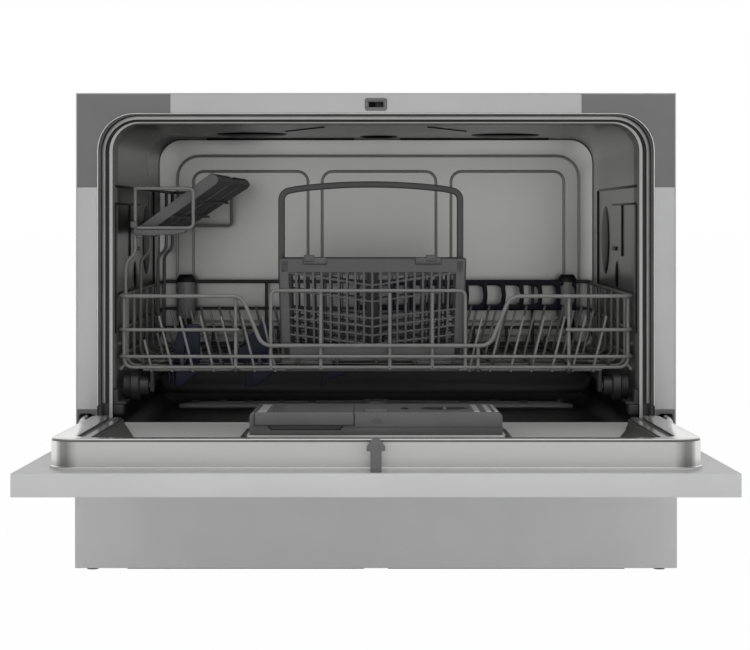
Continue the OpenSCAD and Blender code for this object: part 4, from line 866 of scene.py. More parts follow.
catch_low, catch_high = drawn_box("latch_catch")
LATCH_Z = (catch_low.z + catch_high.z) / 2
settle(frame_ring("latch_bezel_moulded", 10.2, 5.72, 2.3, LATCH_Z, 0.1, 6.5, 2.6), "cabinet", trim_abs)
settle(frame_ring("latch_lining_moulded", 7.85, 3.4, 0.8, LATCH_Z, 0.9, 6.3, 0.8), "cabinet", soft_grey_pp)
corners = []
for sx, sz in ((-1, -1), (-1, 1), (1, -1), (1, 1)):
    turn = [math.radians(11.25 * k) for k in range(9)]
    outline = [(10.4, 5.9)] + [(7.5 + 2.9 * math.cos(a), 3.0 + 2.9 * math.sin(a)) for a in turn]
    corners.append(loft("corner", [[Vector((sx * x, y, LATCH_Z + sz * z)) for x, z in outline] for y in (-0.02, 1)]))
settle(join("latch_mouth_corners", corners), "cabinet", silver_paint)
catch = softened("latch_jaws_moulded", "latch_catch", 0.6, 3)
room = block("room", -7.7, 7.7, catch_low.y - 2, catch_high.y - 1.5, LATCH_Z - 3.3, LATCH_Z + 3.3)
modify(catch, "BOOLEAN", object=room, operation="DIFFERENCE", solver="EXACT")
bpy.data.objects.remove(room)
clean(catch)
lever = block("latch_lever_moulded", -0.6, 7.2, catch_high.y + 0.6, catch_high.y + 2, LATCH_Z - 3.2, LATCH_Z + 3.2)
soften(lever, 0.4, 2)
settle(lever, "cabinet", pale_pp)
settle(catch, "cabinet", trim_abs, stands_for=["latch_catch"])
settle(softened("latch_housing_moulded", "latch_housing", 0.5), "cabinet", near_black, stands_for=["latch_housing"])
# %% [markdown]
# ## The bottom of the tub
# The lowest part of the tub is a near-black sheet that lies on the steel: painted shade, a little lighter on the
# floor. It follows the tub's own section up to one height, turns up the back wall with the same wide round,
# and has a round hole for the filter plate. It is one strip of rings, filled at the back and given its thickness.

# %% Basin
BASIN_TOP = 157
bm = bmesh.new()
stations = [(MOUTH + 2.5, 0, 0), (110, 0, 0), (240, 0, 0), (360, 0, 0), (TUB_BACK - FOOT_FILLET - 0.3, 0, 0)]
for k in range(1, 13):
    out = FOOT_FILLET * math.sin(math.radians(7.5 * k))
    lift = FOOT_FILLET * (1 - math.cos(math.radians(7.5 * k)))
    near = max(0.0, out - FOOT_FILLET + BACK_FILLET)
    stations.append((TUB_BACK - FOOT_FILLET - 0.3 + out, lift,
                     BACK_FILLET - math.sqrt(BACK_FILLET ** 2 - near ** 2)))
loops = []
for y, lift, inset in stations:
    half, base, r = TUB_HALF - 0.3 - inset, TUB_FLOOR + 0.3 + lift, LOW_R - 0.3
    ring = [(-half, BASIN_TOP), (-half, (BASIN_TOP + base + r) / 2)]
    ring += [(-half + r - r * math.cos(math.radians(11.25 * k)), base + r - r * math.sin(math.radians(11.25 * k)))
             for k in range(9)]
    ring += [(-x, z) for x, z in reversed(ring)]
    loops.append([bm.verts.new((x, y, z)) for x, z in ring])
for one, two in zip(loops, loops[1:]):
    for i in range(len(one) - 1):
        bm.faces.new((one[i], one[i + 1], two[i + 1], two[i]))
bm.faces.new(loops[-1])
mesh = bpy.data.meshes.new("tub_bottom_shade_sheet")
bm.to_mesh(mesh)
bm.free()
basin = bpy.data.objects.new("tub_bottom_shade_sheet", mesh)
bpy.context.scene.collection.objects.link(basin)
clean(basin)
if max(basin.data.polygons, key=lambda p: p.area * abs(p.normal.z)).normal.z < 0:
    basin.data.flip_normals()
modify(basin, "SOLIDIFY", thickness=0.9, offset=1.0)
bpy.ops.mesh.primitive_cylinder_add(radius=(plate_high.x - plate_low.x) / 2 + 1, depth=20, vertices=64,
                                    location=(0, (plate_low.y + plate_high.y) / 2, TUB_FLOOR))
cutter = bpy.context.object
modify(basin, "BOOLEAN", object=cutter, operation="DIFFERENCE", solver="EXACT")
bpy.data.objects.remove(cutter)
soften(basin, 0.25, 2)
settle(basin, "cabinet", basin_shade_pp, smooth=30)
basin.data.materials.append(basin_floor_shade_pp)
# Faces low on the floor take the lighter painted shade.
for face in basin.data.polygons:
    if (IN_CABINET.inverted() @ face.center).z < 125:
        face.material_index = 1

# %% [markdown]
# Small things stand on the tub's walls: bright studs and short bars at the sides near the mouth, and the
# dark rails that the rack's wheels run on. Each rail has a stop at its front end that hangs lower.

# %% Rails and studs
guides = softened("rack_guides_moulded", "rack_guides", 0.8, 3)
for side in (-1, 1):
    stop = block("stop", min(side * 234.5, side * 245.2), max(side * 234.5, side * 245.2), 26, 44, 139.8, 150.6)
    soften(stop, 2.2, 4)
    guides = join("rack_guides_moulded", [guides, stop])
settle(guides, "cabinet", near_black, stands_for=["rack_guides"])
studs = []
for side in (-1, 1):
    bpy.ops.mesh.primitive_uv_sphere_add(segments=20, ring_count=10, radius=2.1, scale=(1.2, 1, 1),
                                         location=(side * 243.4, 100, 202))
    stud = bpy.context.object
    bpy.ops.object.transform_apply(location=True, rotation=True, scale=True)
    studs.append(stud)
    studs.append(bend_bars("bar", [[(side * 246, 94, 177.6), (side * 240.8, 94, 183.2)]], 1.5, 0))
settle(join("wall_studs_riveted", studs), "cabinet", bright_edge)

# %% [markdown]
# ## Ceiling and side walls
# The ceiling has three round dimples and a step near the back, pressed in to stiffen it, and two creases
# run forward from the outer dimples. Each side wall has round and upright dimples of the same kind and
# two ribs. From the front they are seen almost edge on, so a low dome that stands a few millimetres
# proud is what shows. All of them get a near-black steel: painted shade and dark reflection.

# %% Dimples, step and creases
def dome(name, x, y, z, rx, ry, height, axis="Z"):
    """A low dome whose rim lies in a wall. axis is the wall's inward direction."""
    rings = []
    for k in range(6):
        a = math.radians(90 - 88 * k / 5) if k else math.radians(90)
        r, h = math.cos(math.radians(90) - a), height * math.cos(a)
        rings.append((r, h))
    turned = []
    for r, h in rings:
        ring = []
        for i in range(40):
            b = 2 * math.pi * i / 40
            u, v = rx * r * math.cos(b), ry * r * math.sin(b)
            ring.append(Vector((x + u, y + v, z - h)) if axis == "Z" else Vector((x - math.copysign(h, x), y + u, z + v)))
        turned.append(ring)
    return loft(name, turned, start=False)


dimples = [dome("dimple", -132, 296, TUB_TOP, 38, 38, 3.4), dome("dimple", 3, 363, TUB_TOP, 21, 21, 3.4),
           dome("dimple", 139, 322, TUB_TOP, 37, 37, 3.4)]
settle(join("ceiling_dimples", dimples), "cabinet", shade_and_reflection_steel)
steps = []
for x0, x1 in ((-190, -24), (27, 194)):
    step = block("step", x0, x1, 416.5, 421, TUB_TOP - 2.0, TUB_TOP + 0.1)
    soften(step, 0.9, 3)
    steps.append(step)
for side in (-1, 1):
    crease = strip_along("crease", [(side * 93, 0), (side * 50, 0)], 1.6, -0.9, 0.2, 0.3)
    for v in crease.data.vertices:
        share = (abs(v.co.x) - 50) / 43
        v.co = Vector((v.co.x, 120 + 101 * share + v.co.z, TUB_TOP + v.co.y - 0.1))
    steps.append(crease)
settle(join("ceiling_step", steps), "cabinet", shade_and_reflection_steel)
walls = []
for side in (-1, 1):
    x = side * TUB_HALF
    walls.append(dome("dimple", x, 313, 299.7, 35, 36.5, 2.6, "X"))
    walls.append(dome("dimple", x, 211, 265.6, 9, 13.7, 2.2, "X"))
    for y0, y1, z0, z1 in ((52, 373, 352.4, 354.8), (52, 246, 336, 338), (162, 165, 285, 337), (49, 52, 215, 337),
                           (382, 385, 200, 353), (211, 246, 290, 294)):
        rib = block("rib", x - side * 1.6, x, y0, y1, z0, z1)
        soften(rib, 0.6, 2)
        walls.append(rib)
settle(join("side_wall_dimples", walls), "cabinet", shade_and_reflection_steel)
# %% [markdown]
# ## The door
# The outer panel is painted sheet, folded round on all sides. A merged copy of the imported one has its
# folds rounded.

# %% Outer door panel
# The door panel takes the lighter copy of the silver paint: painted light.
settle(softened("door_panel_folded", "door_panel", 1.3, 3, turned=True), "door", silver_paint_lit_copy, place=ON_DOOR,
       stands_for=["door_panel"])

# %% [markdown]
# The inner pan is drawn from one stainless sheet. Its rim closes against the seal, a narrow ledge on each
# side carries the rack's wheels, and the floor steps up to the dispenser with sloping edges. The rim is
# a profile that follows an arch, with a wider ledge along the sides. The floor is filled round the
# plateau, and the sheet gets its thickness at the end.

# %% Door pan
PAN_HALF, PAN_TOP, PAN_R = 251.5, 414.4, 25
RIM_Y, PAN_Y, DOOR_Y = 22, 11, -2
RIM_LOW, TAIL = 126, 97
PLATEAU_Y = 14


# Finish kinds in the rim's section: 0 the plain pan steel, 1 painted shade in grooves and walls, 3 a painted highlight
# on the rim's top and ledge.
def rim_profile(width, drop):
    """The rim's section from the door's edge inwards: distance, depth and which finish. drop lowers its top."""
    top, step, end = RIM_Y - drop, 20.6 - drop, width
    line = [(-1.1, DOOR_Y, 0), (-1.1, -0.5, 0), (-0.3, 0, 0), (0.2, 0.6, 0), (0, 1.4, 0), (0, top - 2.4, 1),
            (0.6, top - 2.1, 1), (0.6, top - 0.9, 0), (0.3, top - 0.5, 3), (1.2, top, 3), (end - 12.9, top, 1),
            (end - 12.6, top - 2, 1), (end - 8.4, top - 2.2, 1), (end - 8, step, 3), (end - 2.4, step, 1),
            (end - 2.2, step - 1.5, 1), (end - 0.4, step - 1.7, 1), (end, step - 2.4, 1)]
    return line


# (height, rim's half width, half width at the ledge's inner edge, half width at the wall's foot)
sides = [(RIM_LOW, 248, 229.9, 229.7), (134, 248.2, 228.6, 228.2), (146, 249.4, 226.6, 226), (158, 251, 224.6, 223.8),
         (170, PAN_HALF, 222.8, 221.6), (190, PAN_HALF, 220.4, 218)]
drops = [4.5, 3.4, 1.8, 0.6, 0, 0]
outer, ledge, foot = ([(half[k], half[0]) for half in sides] for k in (1, 2, 3))
for corner, (cx, cz, r) in ((outer, (PAN_HALF - PAN_R, PAN_TOP - PAN_R, PAN_R)), (ledge, (210.2, 378, 10)),
                            (foot, (175.6, 374, 8))):
    corner += [(cx + r * math.cos(math.radians(7.5 * k)), cz + r * math.sin(math.radians(7.5 * k)))
               for k in range(13)]
drops += [0] * 13
both = [[(-x, z) for x, z in line] + [(x, z) for x, z in reversed(line)] for line in (outer, ledge, foot)]
drops = drops + drops[::-1]
bm = bmesh.new()
zone = bm.faces.layers.int.new("zone")
bend = bm.verts.layers.float.new("bend")
rows, zones = [], []
for start, inner, low, drop in zip(*both, drops):
    way = Vector(inner) - Vector(start)
    section = rim_profile(way.length, drop)
    way.normalize()
    rows.append([bm.verts.new((start[0] + way.x * u, y, start[1] + way.y * u)) for u, y, kind in section]
                + [bm.verts.new((low[0], PAN_Y, low[1]))])
    zones = [kind for u, y, kind in section]
for one, two in zip(rows, rows[1:]):
    for i in range(len(one) - 1):
        bm.faces.new((one[i], one[i + 1], two[i + 1], two[i]))[zone] = zones[i]
# The corner rows get the bend weight that paints reflection and shade across the drawn corners.
for k in range(13):
    for row in (rows[len(sides) + k], rows[-1 - len(sides) - k]):
        for v in row[2:8]:
            v[bend] = max(0.001, 1 - k / 12)
for row in (rows[0], rows[-1]):
    bm.faces.new(row + [bm.verts.new((row[-1].co.x, DOOR_Y, RIM_LOW))])
inner = [row[-1] for row in rows]
tail = [bm.verts.new((x, PAN_Y, z)) for x, z in ((231, RIM_LOW - 0.5), (231, TAIL + 1), (230, TAIL), (-230, TAIL),
                                                 (-231, TAIL + 1), (-231, RIM_LOW - 0.5))]
border = inner + tail
for i in range(len(border)):
    if not bm.edges.get((border[i], border[i - 1])):
        bm.edges.new((border[i], border[i - 1]))
disp_low, disp_high = drawn_box("dispenser_body", turned=True)
steps = []
for grow, y, r in ((9, PAN_Y, 8), (7.4, PAN_Y + 0.5, 7), (4, PLATEAU_Y - 0.5, 5), (2.6, PLATEAU_Y, 4),
                   (-2, PLATEAU_Y, 3)):
    steps.append(looped(bm, round_rect(disp_low.x - grow, disp_high.x + grow, disp_low.z - grow, disp_high.z + grow,
                                       r, y, 4)))
for one, two in zip(steps, steps[1:]):
    bridged(bm, one, two)
filled(bm, border, steps[0])
# Floor faces take the painted-light floor finish, and the plateau's sloping sides the painted-shade one.
for face in bm.faces:
    face.normal_update()
    if face.calc_center_median().y > PAN_Y - 0.3 and not face[zone] and abs(face.normal.y) > 0.2:
        face[zone] = 1 if abs(face.normal.x) > 0.2 and face.calc_center_median().y < PLATEAU_Y else 2
mesh = bpy.data.meshes.new("door_pan_drawn")
bm.to_mesh(mesh)
bm.free()
pan = bpy.data.objects.new("door_pan_drawn", mesh)
bpy.context.scene.collection.objects.link(pan)
clean(pan)
if max(pan.data.polygons, key=lambda p: abs(p.normal.y) * p.area).normal.y < 0:
    pan.data.flip_normals()
modify(pan, "SOLIDIFY", thickness=0.5, offset=-1.0)
settle(pan, "door", pan_steel, place=ON_DOOR, stands_for=["door_pan"], smooth=30)
# The pan's zones take copies of its one steel: painted shade (1), painted light on the floor (2) and a painted
# highlight on the rim (3).
for other in (pan_wall_shade_steel, pan_floor_light_steel, pan_rim_highlight_steel):
    pan.data.materials.append(other)
for face, kind in zip(pan.data.polygons, pan.data.attributes["zone"].data):
    face.material_index = kind.value
print("faces of each finish:", [sum(f.material_index == k for f in pan.data.polygons) for k in range(4)])

# %% [markdown]
# ## The dispenser
# It is one satin grey moulding let into the plateau. The long side edges of its face are rounded off
# wide, so these are picked first, and all other edges get a small radius after.

# %% Dispenser body
body = softened("dispenser_moulded", "dispenser_body", 0, turned=True)
TIP_Z, FACE_Y = disp_high.z, disp_high.y
SPLIT_Y = 21.1
bpy.ops.object.mode_set(mode="EDIT")
bpy.ops.mesh.select_mode(type="EDGE")
bm = bmesh.from_edit_mesh(body.data)
for y in (SPLIT_Y, SPLIT_Y - 0.7):
    bmesh.ops.bisect_plane(bm, geom=bm.verts[:] + bm.edges[:] + bm.faces[:], plane_co=(0, y, 0), plane_no=(0, 1, 0))
for v in bm.verts:
    if v.co.z > TIP_Z - 0.05 and v.co.y < SPLIT_Y - 0.3:
        v.co.z -= 0.8 + 0.3 * (SPLIT_Y - v.co.y) / 7
bpy.ops.mesh.select_all(action="DESELECT")
for edge in bm.edges:
    a, b = (v.co for v in edge.verts)
    edge.select = (abs(a.y - FACE_Y) < 0.05 and abs(b.y - FACE_Y) < 0.05
                   and abs(abs(a.x) - disp_high.x) < 0.05 and abs(abs(b.x) - disp_high.x) < 0.05
                   and abs(a.z - b.z) > 20)
print("long edges:", sum(edge.select for edge in bm.edges))
bpy.ops.mesh.bevel(offset=4.2, segments=5, affect="EDGES")
bpy.ops.object.mode_set(mode="OBJECT")
recess = loft("recess", [[Vector((x, y, z)) for x, y in ((-90.4, 21.9), (-26.5, 21.9), (-29.5, 18.0), (-87.4, 18.0))]
                         for z in (TIP_Z - 7, TIP_Z + 3)])
modify(body, "BOOLEAN", object=recess, operation="DIFFERENCE", solver="EXACT")
bpy.data.objects.remove(recess)
clean(body)
soften(body, 0.5, 2)
settle(body, "door", grey_pp, place=ON_DOOR, stands_for=["dispenser_body"])

# %% [markdown]
# Beside the cap three ribs are raised on the dispenser's face, and a dark oval shows whether there is
# rinse aid left. A shallow half-round under the catch gives room for a finger. They are shallow plates
# with rounded edges, let in by a fraction of their thickness.

# %% Ribs, indicator and finger mark
ribs = []
for x0, x1 in ((81.8, 86.6), (91.8, 96.2), (99.0, 101.6)):
    rib = block("rib", x0, x1, FACE_Y - 0.4, FACE_Y + 0.6, 192, TIP_Z - 4)
    soften(rib, 0.45, 3)
    ribs.append(rib)
settle(join("dispenser_ribs_moulded", ribs), "door", silver_abs, place=ON_DOOR)
oval = [circle_ring(24.5, 235.5, r, y, 32, r * 3) for r, y in ((3.5, FACE_Y - 0.5), (3.5, FACE_Y + 0.1),
                                                              (3.2, FACE_Y + 0.35), (2.4, FACE_Y + 0.5))]
settle(loft("rinse_indicator_window", oval), "door", black_gloss, place=ON_DOOR)
mark = [(0.9 + 5.2 * math.cos(math.radians(a)), 23.6 + 4.4 * math.sin(math.radians(a))) for a in range(0, 181, 12)]
mark = loft("finger_mark_moulded", [[Vector((x, y, z)) for x, y in mark] for z in (TIP_Z - 0.5, TIP_Z + 0.12)])
settle(mark, "door", basket_pp, place=ON_DOOR)

# %% [markdown]
# The detergent lid slides on the face. It is bent down over the dispenser's end, where its skirt stops
# short of the recess for the finger. It has a pale pad and grip ribs at one end and a fine seam across.
# The catch beside it is a small lever with pin holes. The rinse-aid cap is a dish that turns by its bar.

# %% Lid, catch and cap
lid_low, lid_high = drawn_box("detergent_lid", turned=True)
lid = softened("detergent_lid_moulded", "detergent_lid", 0, turned=True)
for v in lid.data.vertices:
    if v.co.y < 25:
        v.co.y = 22.4
soften(lid, 1.1, 3)
parts = [lid]
for k in range(5):
    rib = block("rib", lid_low.x + 12.2 + 2.3 * k, lid_low.x + 13.4 + 2.3 * k, FACE_Y - 0.3, FACE_Y + 0.6,
                lid_low.z + 10, lid_high.z - 3.4)
    soften(rib, 0.35, 2)
    parts.append(rib)
seam = block("seam", -45.4, -44.6, FACE_Y - 0.3, FACE_Y + 0.25, lid_low.z + 6, lid_high.z - 3.4)
soften(seam, 0.2, 2)
settle(join("detergent_lid_moulded", parts + [seam]), "detergent_lid", grey_pp, place=ON_DOOR,
       stands_for=["detergent_lid"])
# A thin near-black strip round the lid: painted shade in the gap round it.
seal = block("lid_gap_painted_shade", lid_low.x - 1, lid_high.x + 1, SPLIT_Y + 0.7, FACE_Y - 1.1, TIP_Z - 3, TIP_Z + 0.5)
soften(seal, 0.4, 2)
settle(seal, "door", near_black, place=ON_DOOR)
pad = block("lid_pad_moulded", lid_low.x + 2.2, lid_low.x + 9.6, FACE_Y - 0.4, FACE_Y + 0.3, lid_low.z + 6,
            lid_high.z - 3)
soften(pad, 0.3, 2)
settle(pad, "detergent_lid", silver_abs, place=ON_DOOR)
catch = softened("lid_catch_moulded", "lid_catch", 0.5, 3, turned=True)
catch_low, catch_high = drawn_box("lid_catch", turned=True)
for x in (-6.3, -1.3, 3.7):
    for z in (catch_low.z + 6, catch_low.z + 15):
        bpy.ops.mesh.primitive_cylinder_add(radius=0.85, depth=6, vertices=20, rotation=(math.radians(90), 0, 0),
                                            location=(x, catch_high.y, z), scale=(1, 2.2, 1))
        cutter = bpy.context.object
        bpy.ops.object.transform_apply(location=True, rotation=True, scale=True)
        modify(catch, "BOOLEAN", object=cutter, operation="DIFFERENCE", solver="EXACT")
        bpy.data.objects.remove(cutter)
settle(catch, "lid_catch", grey_pp, place=ON_DOOR, stands_for=["lid_catch"])
cap_low, cap_high = drawn_box("rinse_cap", turned=True)
CAP_X, CAP_Z, CAP_R = (cap_low.x + cap_high.x) / 2, (cap_low.z + cap_high.z) / 2, (cap_high.x - cap_low.x) / 2
dish = [circle_ring(CAP_X, CAP_Z, r, y, 64) for r, y in ((12, cap_low.y), (12, FACE_Y - 2.7), (CAP_R, FACE_Y - 2.7),
                                                        (CAP_R, FACE_Y - 0.2), (CAP_R - 0.3, FACE_Y),
                                                        (CAP_R - 1.2, FACE_Y), (CAP_R - 2.2, FACE_Y - 0.9),
                                                        (CAP_R - 6, FACE_Y - 1.9), (4, FACE_Y - 2.2))]
settle(loft("rinse_cap_moulded", dish), "rinse_cap", near_black, place=ON_DOOR, stands_for=["rinse_cap"])
bar = block("rinse_cap_bar", CAP_X - 1.5, CAP_X + 1.5, FACE_Y - 2.2, cap_high.y, CAP_Z - CAP_R + 2, CAP_Z + CAP_R - 2)
soften(bar, 1.2, 4)
settle(bar, "rinse_cap", grey_pp, place=ON_DOOR)

# %% [markdown]
# The latch hook is a flat arrow that the jaws in the frame let in. The hinge arms are thick stamped
# plates; where they pass the frame they are drawn out to a rounded shoulder that rolls about the hinge.

# %% Latch hook and hinge arms
hook = softened("latch_hook_moulded", "latch_hook", 0.7, 3, turned=True)
for v in hook.data.vertices:
    v.co.x *= 1.25 if abs(v.co.x) > 3.4 else 1.6
settle(hook, "door", hook_pp, place=ON_DOOR, stands_for=["latch_hook"])
parts = [softened("hinge_arms_stamped", "hinge_arms", 0.5, 2, turned=True)]
for side in (-1, 1):
    section = [(262.4, 21), (262.4, 29), (263.4, 29.9), (265.2, 29.6), (267.6, 28.2), (269.4, 26), (270.4, 23.4),
               (270.8, 21)]
    rings = []
    for k in range(17):
        a = math.radians(-2 + 95 * k / 16)
        rings.append([Vector((side * x, HINGE_Y + r * math.cos(a), HINGE_Z + r * math.sin(a))) for x, r in section])
    parts.append(loft("shoulder", rings))
settle(join("hinge_arms_stamped", parts), "door", flange_steel, place=ON_DOOR, stands_for=["hinge_arms"],
       smooth=40)
# %% [markdown]
# ## The cutlery basket
# The basket is one moulding of thin bars: a band round the top and one round the foot, a broad post at
# each corner, upright bars at an even pitch, and cross bars that sag to the middle like a row of
# chevrons. One bar of each kind is shaped and repeated by an array. The finished box is tapered a
# little, as every moulding is, so that it leaves its mould.

# %% Basket
b_low, b_high = drawn_box("cutlery_basket")
MID_X = (b_low.x + b_high.x) / 2
PITCH = 8.05
TOP_BAND, FOOT_BAND, POST_W, SHEET = 13, 16, 9.5, 2.0
win_x0, win_x1 = b_low.x + POST_W, b_high.x - POST_W
win_z0, win_z1 = b_low.z + FOOT_BAND, b_high.z - TOP_BAND
parts = [band("basket", b_low.x, b_high.x, b_low.y, b_high.y, win_z1, b_high.z, SHEET, 3),
         band("foot", b_low.x, b_high.x, b_low.y, b_high.y, b_low.z + 3.4, win_z0, SHEET, 3)]
sole = block("sole", b_low.x + 1.4, b_low.x + 50, b_low.y + 0.3, b_low.y + SHEET, b_low.z, b_low.z + 4)
soften(sole, 0.5, 2)
parts.append(sole)
sole = block("sole", b_high.x - 50, b_high.x - 1.4, b_low.y + 0.3, b_low.y + SHEET, b_low.z, b_low.z + 4)
soften(sole, 0.5, 2)
parts.append(sole)
for x in (b_low.x, b_high.x - POST_W):
    for y in (b_low.y, b_high.y - SHEET):
        post = block("post", x, x + POST_W, y, y + SHEET, b_low.z + 4, b_high.z - 2)
        soften(post, 0.5, 2)
        parts.append(post)
for x in (b_low.x, b_high.x - SHEET):
    for y in (b_low.y, b_high.y - POST_W):
        post = block("post", x, x + SHEET, y, y + POST_W, b_low.z + 4, b_high.z - 2)
        soften(post, 0.5, 2)
        parts.append(post)
        foot = block("foot_pad", x - (18 if x > MID_X else 0), x + SHEET + (0 if x > MID_X else 18), y, y + POST_W,
                     b_low.z, b_low.z + 4)
        soften(foot, 0.8, 2)
        parts.append(foot)
sags = [(272.0, 259.7), (255.4, 244.3), (237.5, 228.3), (229.5, 220.3), (222.1, 212.2), (213.5, 203.6),
        (204.9, 196.0)]
for y in (b_low.y + 0.2, b_high.y - 1.8):
    upright = block("upright", MID_X - 9 * PITCH - 1.1, MID_X - 9 * PITCH + 1.1, y, y + 1.6, win_z0 - 1, win_z1 + 1)
    soften(upright, 0.35, 2)
    parts.append(row_of(upright, 19, (PITCH, 0, 0)))
    for side_z, mid_z in sags:
        rings = []
        for x, z in ((win_x0 - 1, side_z), (MID_X - 12, mid_z + 1.6), (MID_X, mid_z), (MID_X + 12, mid_z + 1.6),
                     (win_x1 + 1, side_z)):
            rings.append([Vector((x, y + a, z + b)) for a, b in ((0.2, -0.9), (1.3, -0.9), (1.3, 0.9), (0.2, 0.9))])
        bar = loft("sagging", rings)
        soften(bar, 0.3, 2)
        parts.append(bar)
for x in (b_low.x + 0.2, b_high.x - 1.8):
    upright = block("upright", x, x + 1.6, b_low.y + POST_W + 5.3, b_low.y + POST_W + 7.5, win_z0 - 1, win_z1 + 1)
    soften(upright, 0.35, 2)
    parts.append(row_of(upright, 6, (0, PITCH, 0)))
    cross = block("cross", x + 0.2, x + 1.4, b_low.y + POST_W - 1, b_high.y - POST_W + 1, win_z0 + 7, win_z0 + 8.8)
    soften(cross, 0.3, 2)
    parts.append(row_of(cross, 8, (0, 0, PITCH)))
floor_bar = block("floor_bar", b_low.x + 6, b_low.x + 8, b_low.y + 1, b_high.y - 1, b_low.z + 3.4, b_low.z + 5)
parts.append(row_of(floor_bar, 21, (PITCH, 0, 0)))
cross = block("floor_cross", b_low.x + 1, b_high.x - 1, b_low.y + 8.6, b_low.y + 10.6, b_low.z + 3.6, b_low.z + 5.4)
parts.append(row_of(cross, 7, (0, PITCH * 1.15, 0)))
MID_Y = (b_low.y + b_high.y) / 2
divider = block("divider", b_low.x + 1, b_high.x - 1, MID_Y - 0.8, MID_Y + 0.8, b_high.z - 17, b_high.z - 12)
parts.append(divider)
column = block("column", MID_X - 6, MID_X + 6, MID_Y - 1.5, MID_Y + 1.5, b_low.z + 4, b_high.z - 14)
soften(column, 0.6, 2)
parts.append(column)
bar = block("divider_bar", b_low.x + 11, b_low.x + 12.4, MID_Y - 0.7, MID_Y + 0.7, b_low.z + 4, b_high.z - 13)
parts.append(row_of(bar, 11, (PITCH * 2, 0, 0)))
for x0, x1, knob in ((-69.2, -46.2, -68), (37.1, 61.7, 47)):
    clip = block("clip", x0, x1, b_low.y - 2.2, b_low.y + 3, b_high.z - 5.6, b_high.z + 1.2)
    soften(clip, 1.4, 3)
    knob = block("knob", knob, knob + 10, b_low.y - 2.8, b_low.y + 4, b_high.z - 3, b_high.z + 3.6)
    soften(knob, 1.2, 3)
    parts += [clip, knob]
basket = join("cutlery_basket_moulded", parts)
for v in basket.data.vertices:
    drop = (b_high.z - v.co.z) / (b_high.z - b_low.z)
    if v.co.z < b_high.z:
        v.co.x = MID_X + (v.co.x - MID_X) * (1 - 0.034 * drop)
        v.co.y = MID_Y + (v.co.y - MID_Y) * (1 - 0.04 * drop)
settle(basket, "cutlery_basket", basket_pp, stands_for=["cutlery_basket"], smooth=30)
# Faces inside the basket take the darker copy of its plastic: painted shade.
basket.data.materials.append(dark_and_shaded_smoke_pp)
for face in basket.data.polygons:
    spot = IN_CABINET.inverted() @ face.center
    if spot.y > b_low.y + 4 and spot.z < b_high.z - 14.5 and b_low.x + 3 < spot.x < b_high.x - 3:
        if b_low.x + 10 < spot.x < b_high.x - 10 or abs(face.normal.x) > 0.7:
            face.material_index = 1

# %% [markdown]
# The handle is a flat strip that rises from both ends, turns in a tight corner and bows up to the middle,
# where the hand takes it. Its section follows a path, so its thickness stays even round the corners.

# %% Basket handle
h_low, h_high = drawn_box("cutlery_handle")
THICK = 6.0
left, right, crown = h_low.x - 4.2 + THICK / 2, h_high.x + 1.2 - THICK / 2, h_high.z + 0.8 - THICK / 2
BOW, CORNER = 5.2, 9.0
half = (right - left) / 2
line = [(left, h_low.z), (left, h_low.z + 20), (left, crown - BOW - CORNER - 12)]
for k in range(9):
    a = math.radians(180 - 84 * k / 8)
    line.append((left + CORNER + CORNER * math.cos(a), crown - BOW - CORNER - 0.6 + CORNER * math.sin(a)))
for k in range(1, 12):
    x = left + CORNER + (half - CORNER) * k / 12
    line.append((x, crown - BOW * ((x - left - half) / (half - CORNER)) ** 2))
line.append((left + half, crown))
line += [(2 * (left + half) - x, z) for x, z in reversed(line[:-1])]
handle = strip_along("cutlery_handle_moulded", line, THICK, h_low.y, h_high.y)
settle(handle, "cutlery_basket", handle_pp, stands_for=["cutlery_handle"])

# %% [markdown]
# ## The cup shelf
# The shelf is a shallow tray hinged on the rail along its low edge. Its section is swept from front to
# back: a floor with a rim on both long sides. End walls close it, thin ribs run under its floor, and a
# small notch in the far edge takes a glass stem. It is modelled flat about its hinge and then tilted.

# %% Cup shelf
rail_x, rail_z = -224.5, 312.0
tilt = math.radians(36)
s_y0, s_y1 = 75.0, 365.0
FLARE = 12 / (s_y1 - s_y0)
profile = [(-4.0, -0.8), (-3.0, -3.6), (1, -5.6), (14, -6.2), (84, -6.6), (87.4, -5.4), (88.5, -1), (86.6, 3.8),
           (84.4, 3.6), (84.9, -1), (82, -4.4), (8, -4.2), (5.2, 1.6), (3, 3.2), (0, 3.8), (-3.2, 2.6)]
rings = []
for y, cut in ((s_y0 + 0.6, 0), (214, 0), (232, 5.4), (240, 5.6), (260, 0), (s_y1 - 0.6, 0)):
    rings.append([Vector((x, y, z - (cut if z > 3.5 and x > 80 else 0))) for x, z in profile])
tray = loft("tray", rings)
parts = [tray]
for y in (s_y0, s_y1 - 2.4):
    wall = loft("end_wall", [[Vector((x, yy, z)) for x, z in ((-3.4, -4.2), (1, -6.2), (84, -7), (88, -5.6), (89, -1),
                              (87, 4.4), (84, 4.2), (4, 3.4), (0, 4.2), (-3.6, 2.8))] for yy in (y, y + 2.4)])
    soften(wall, 0.4, 2)
    parts.append(wall)
for x in (30.6, 56.7):
    rib = block("rib", x, x + 1.4, s_y0 + 2, s_y1 - 2, -8.6, -6.0)
    soften(rib, 0.4, 2)
    parts.append(rib)
for y in (s_y0 + 97, s_y0 + 194):
    rib = block("rib", 4, 84, y, y + 1.2, -7.6, -6.0)
    soften(rib, 0.3, 2)
    parts.append(rib)
shelf = join("cup_shelf_moulded", parts)
shelf.data.transform(Matrix.Translation((rail_x, 0, rail_z)) @ Matrix.Rotation(-tilt, 4, "Y"))
for v in shelf.data.vertices:
    v.co.x += FLARE * (v.co.y - s_y0) * min(1, max(0, (v.co.x - rail_x - 3) / 20))
settle(shelf, "cup_shelf", grey_pp, stands_for=["cup_shelf"])

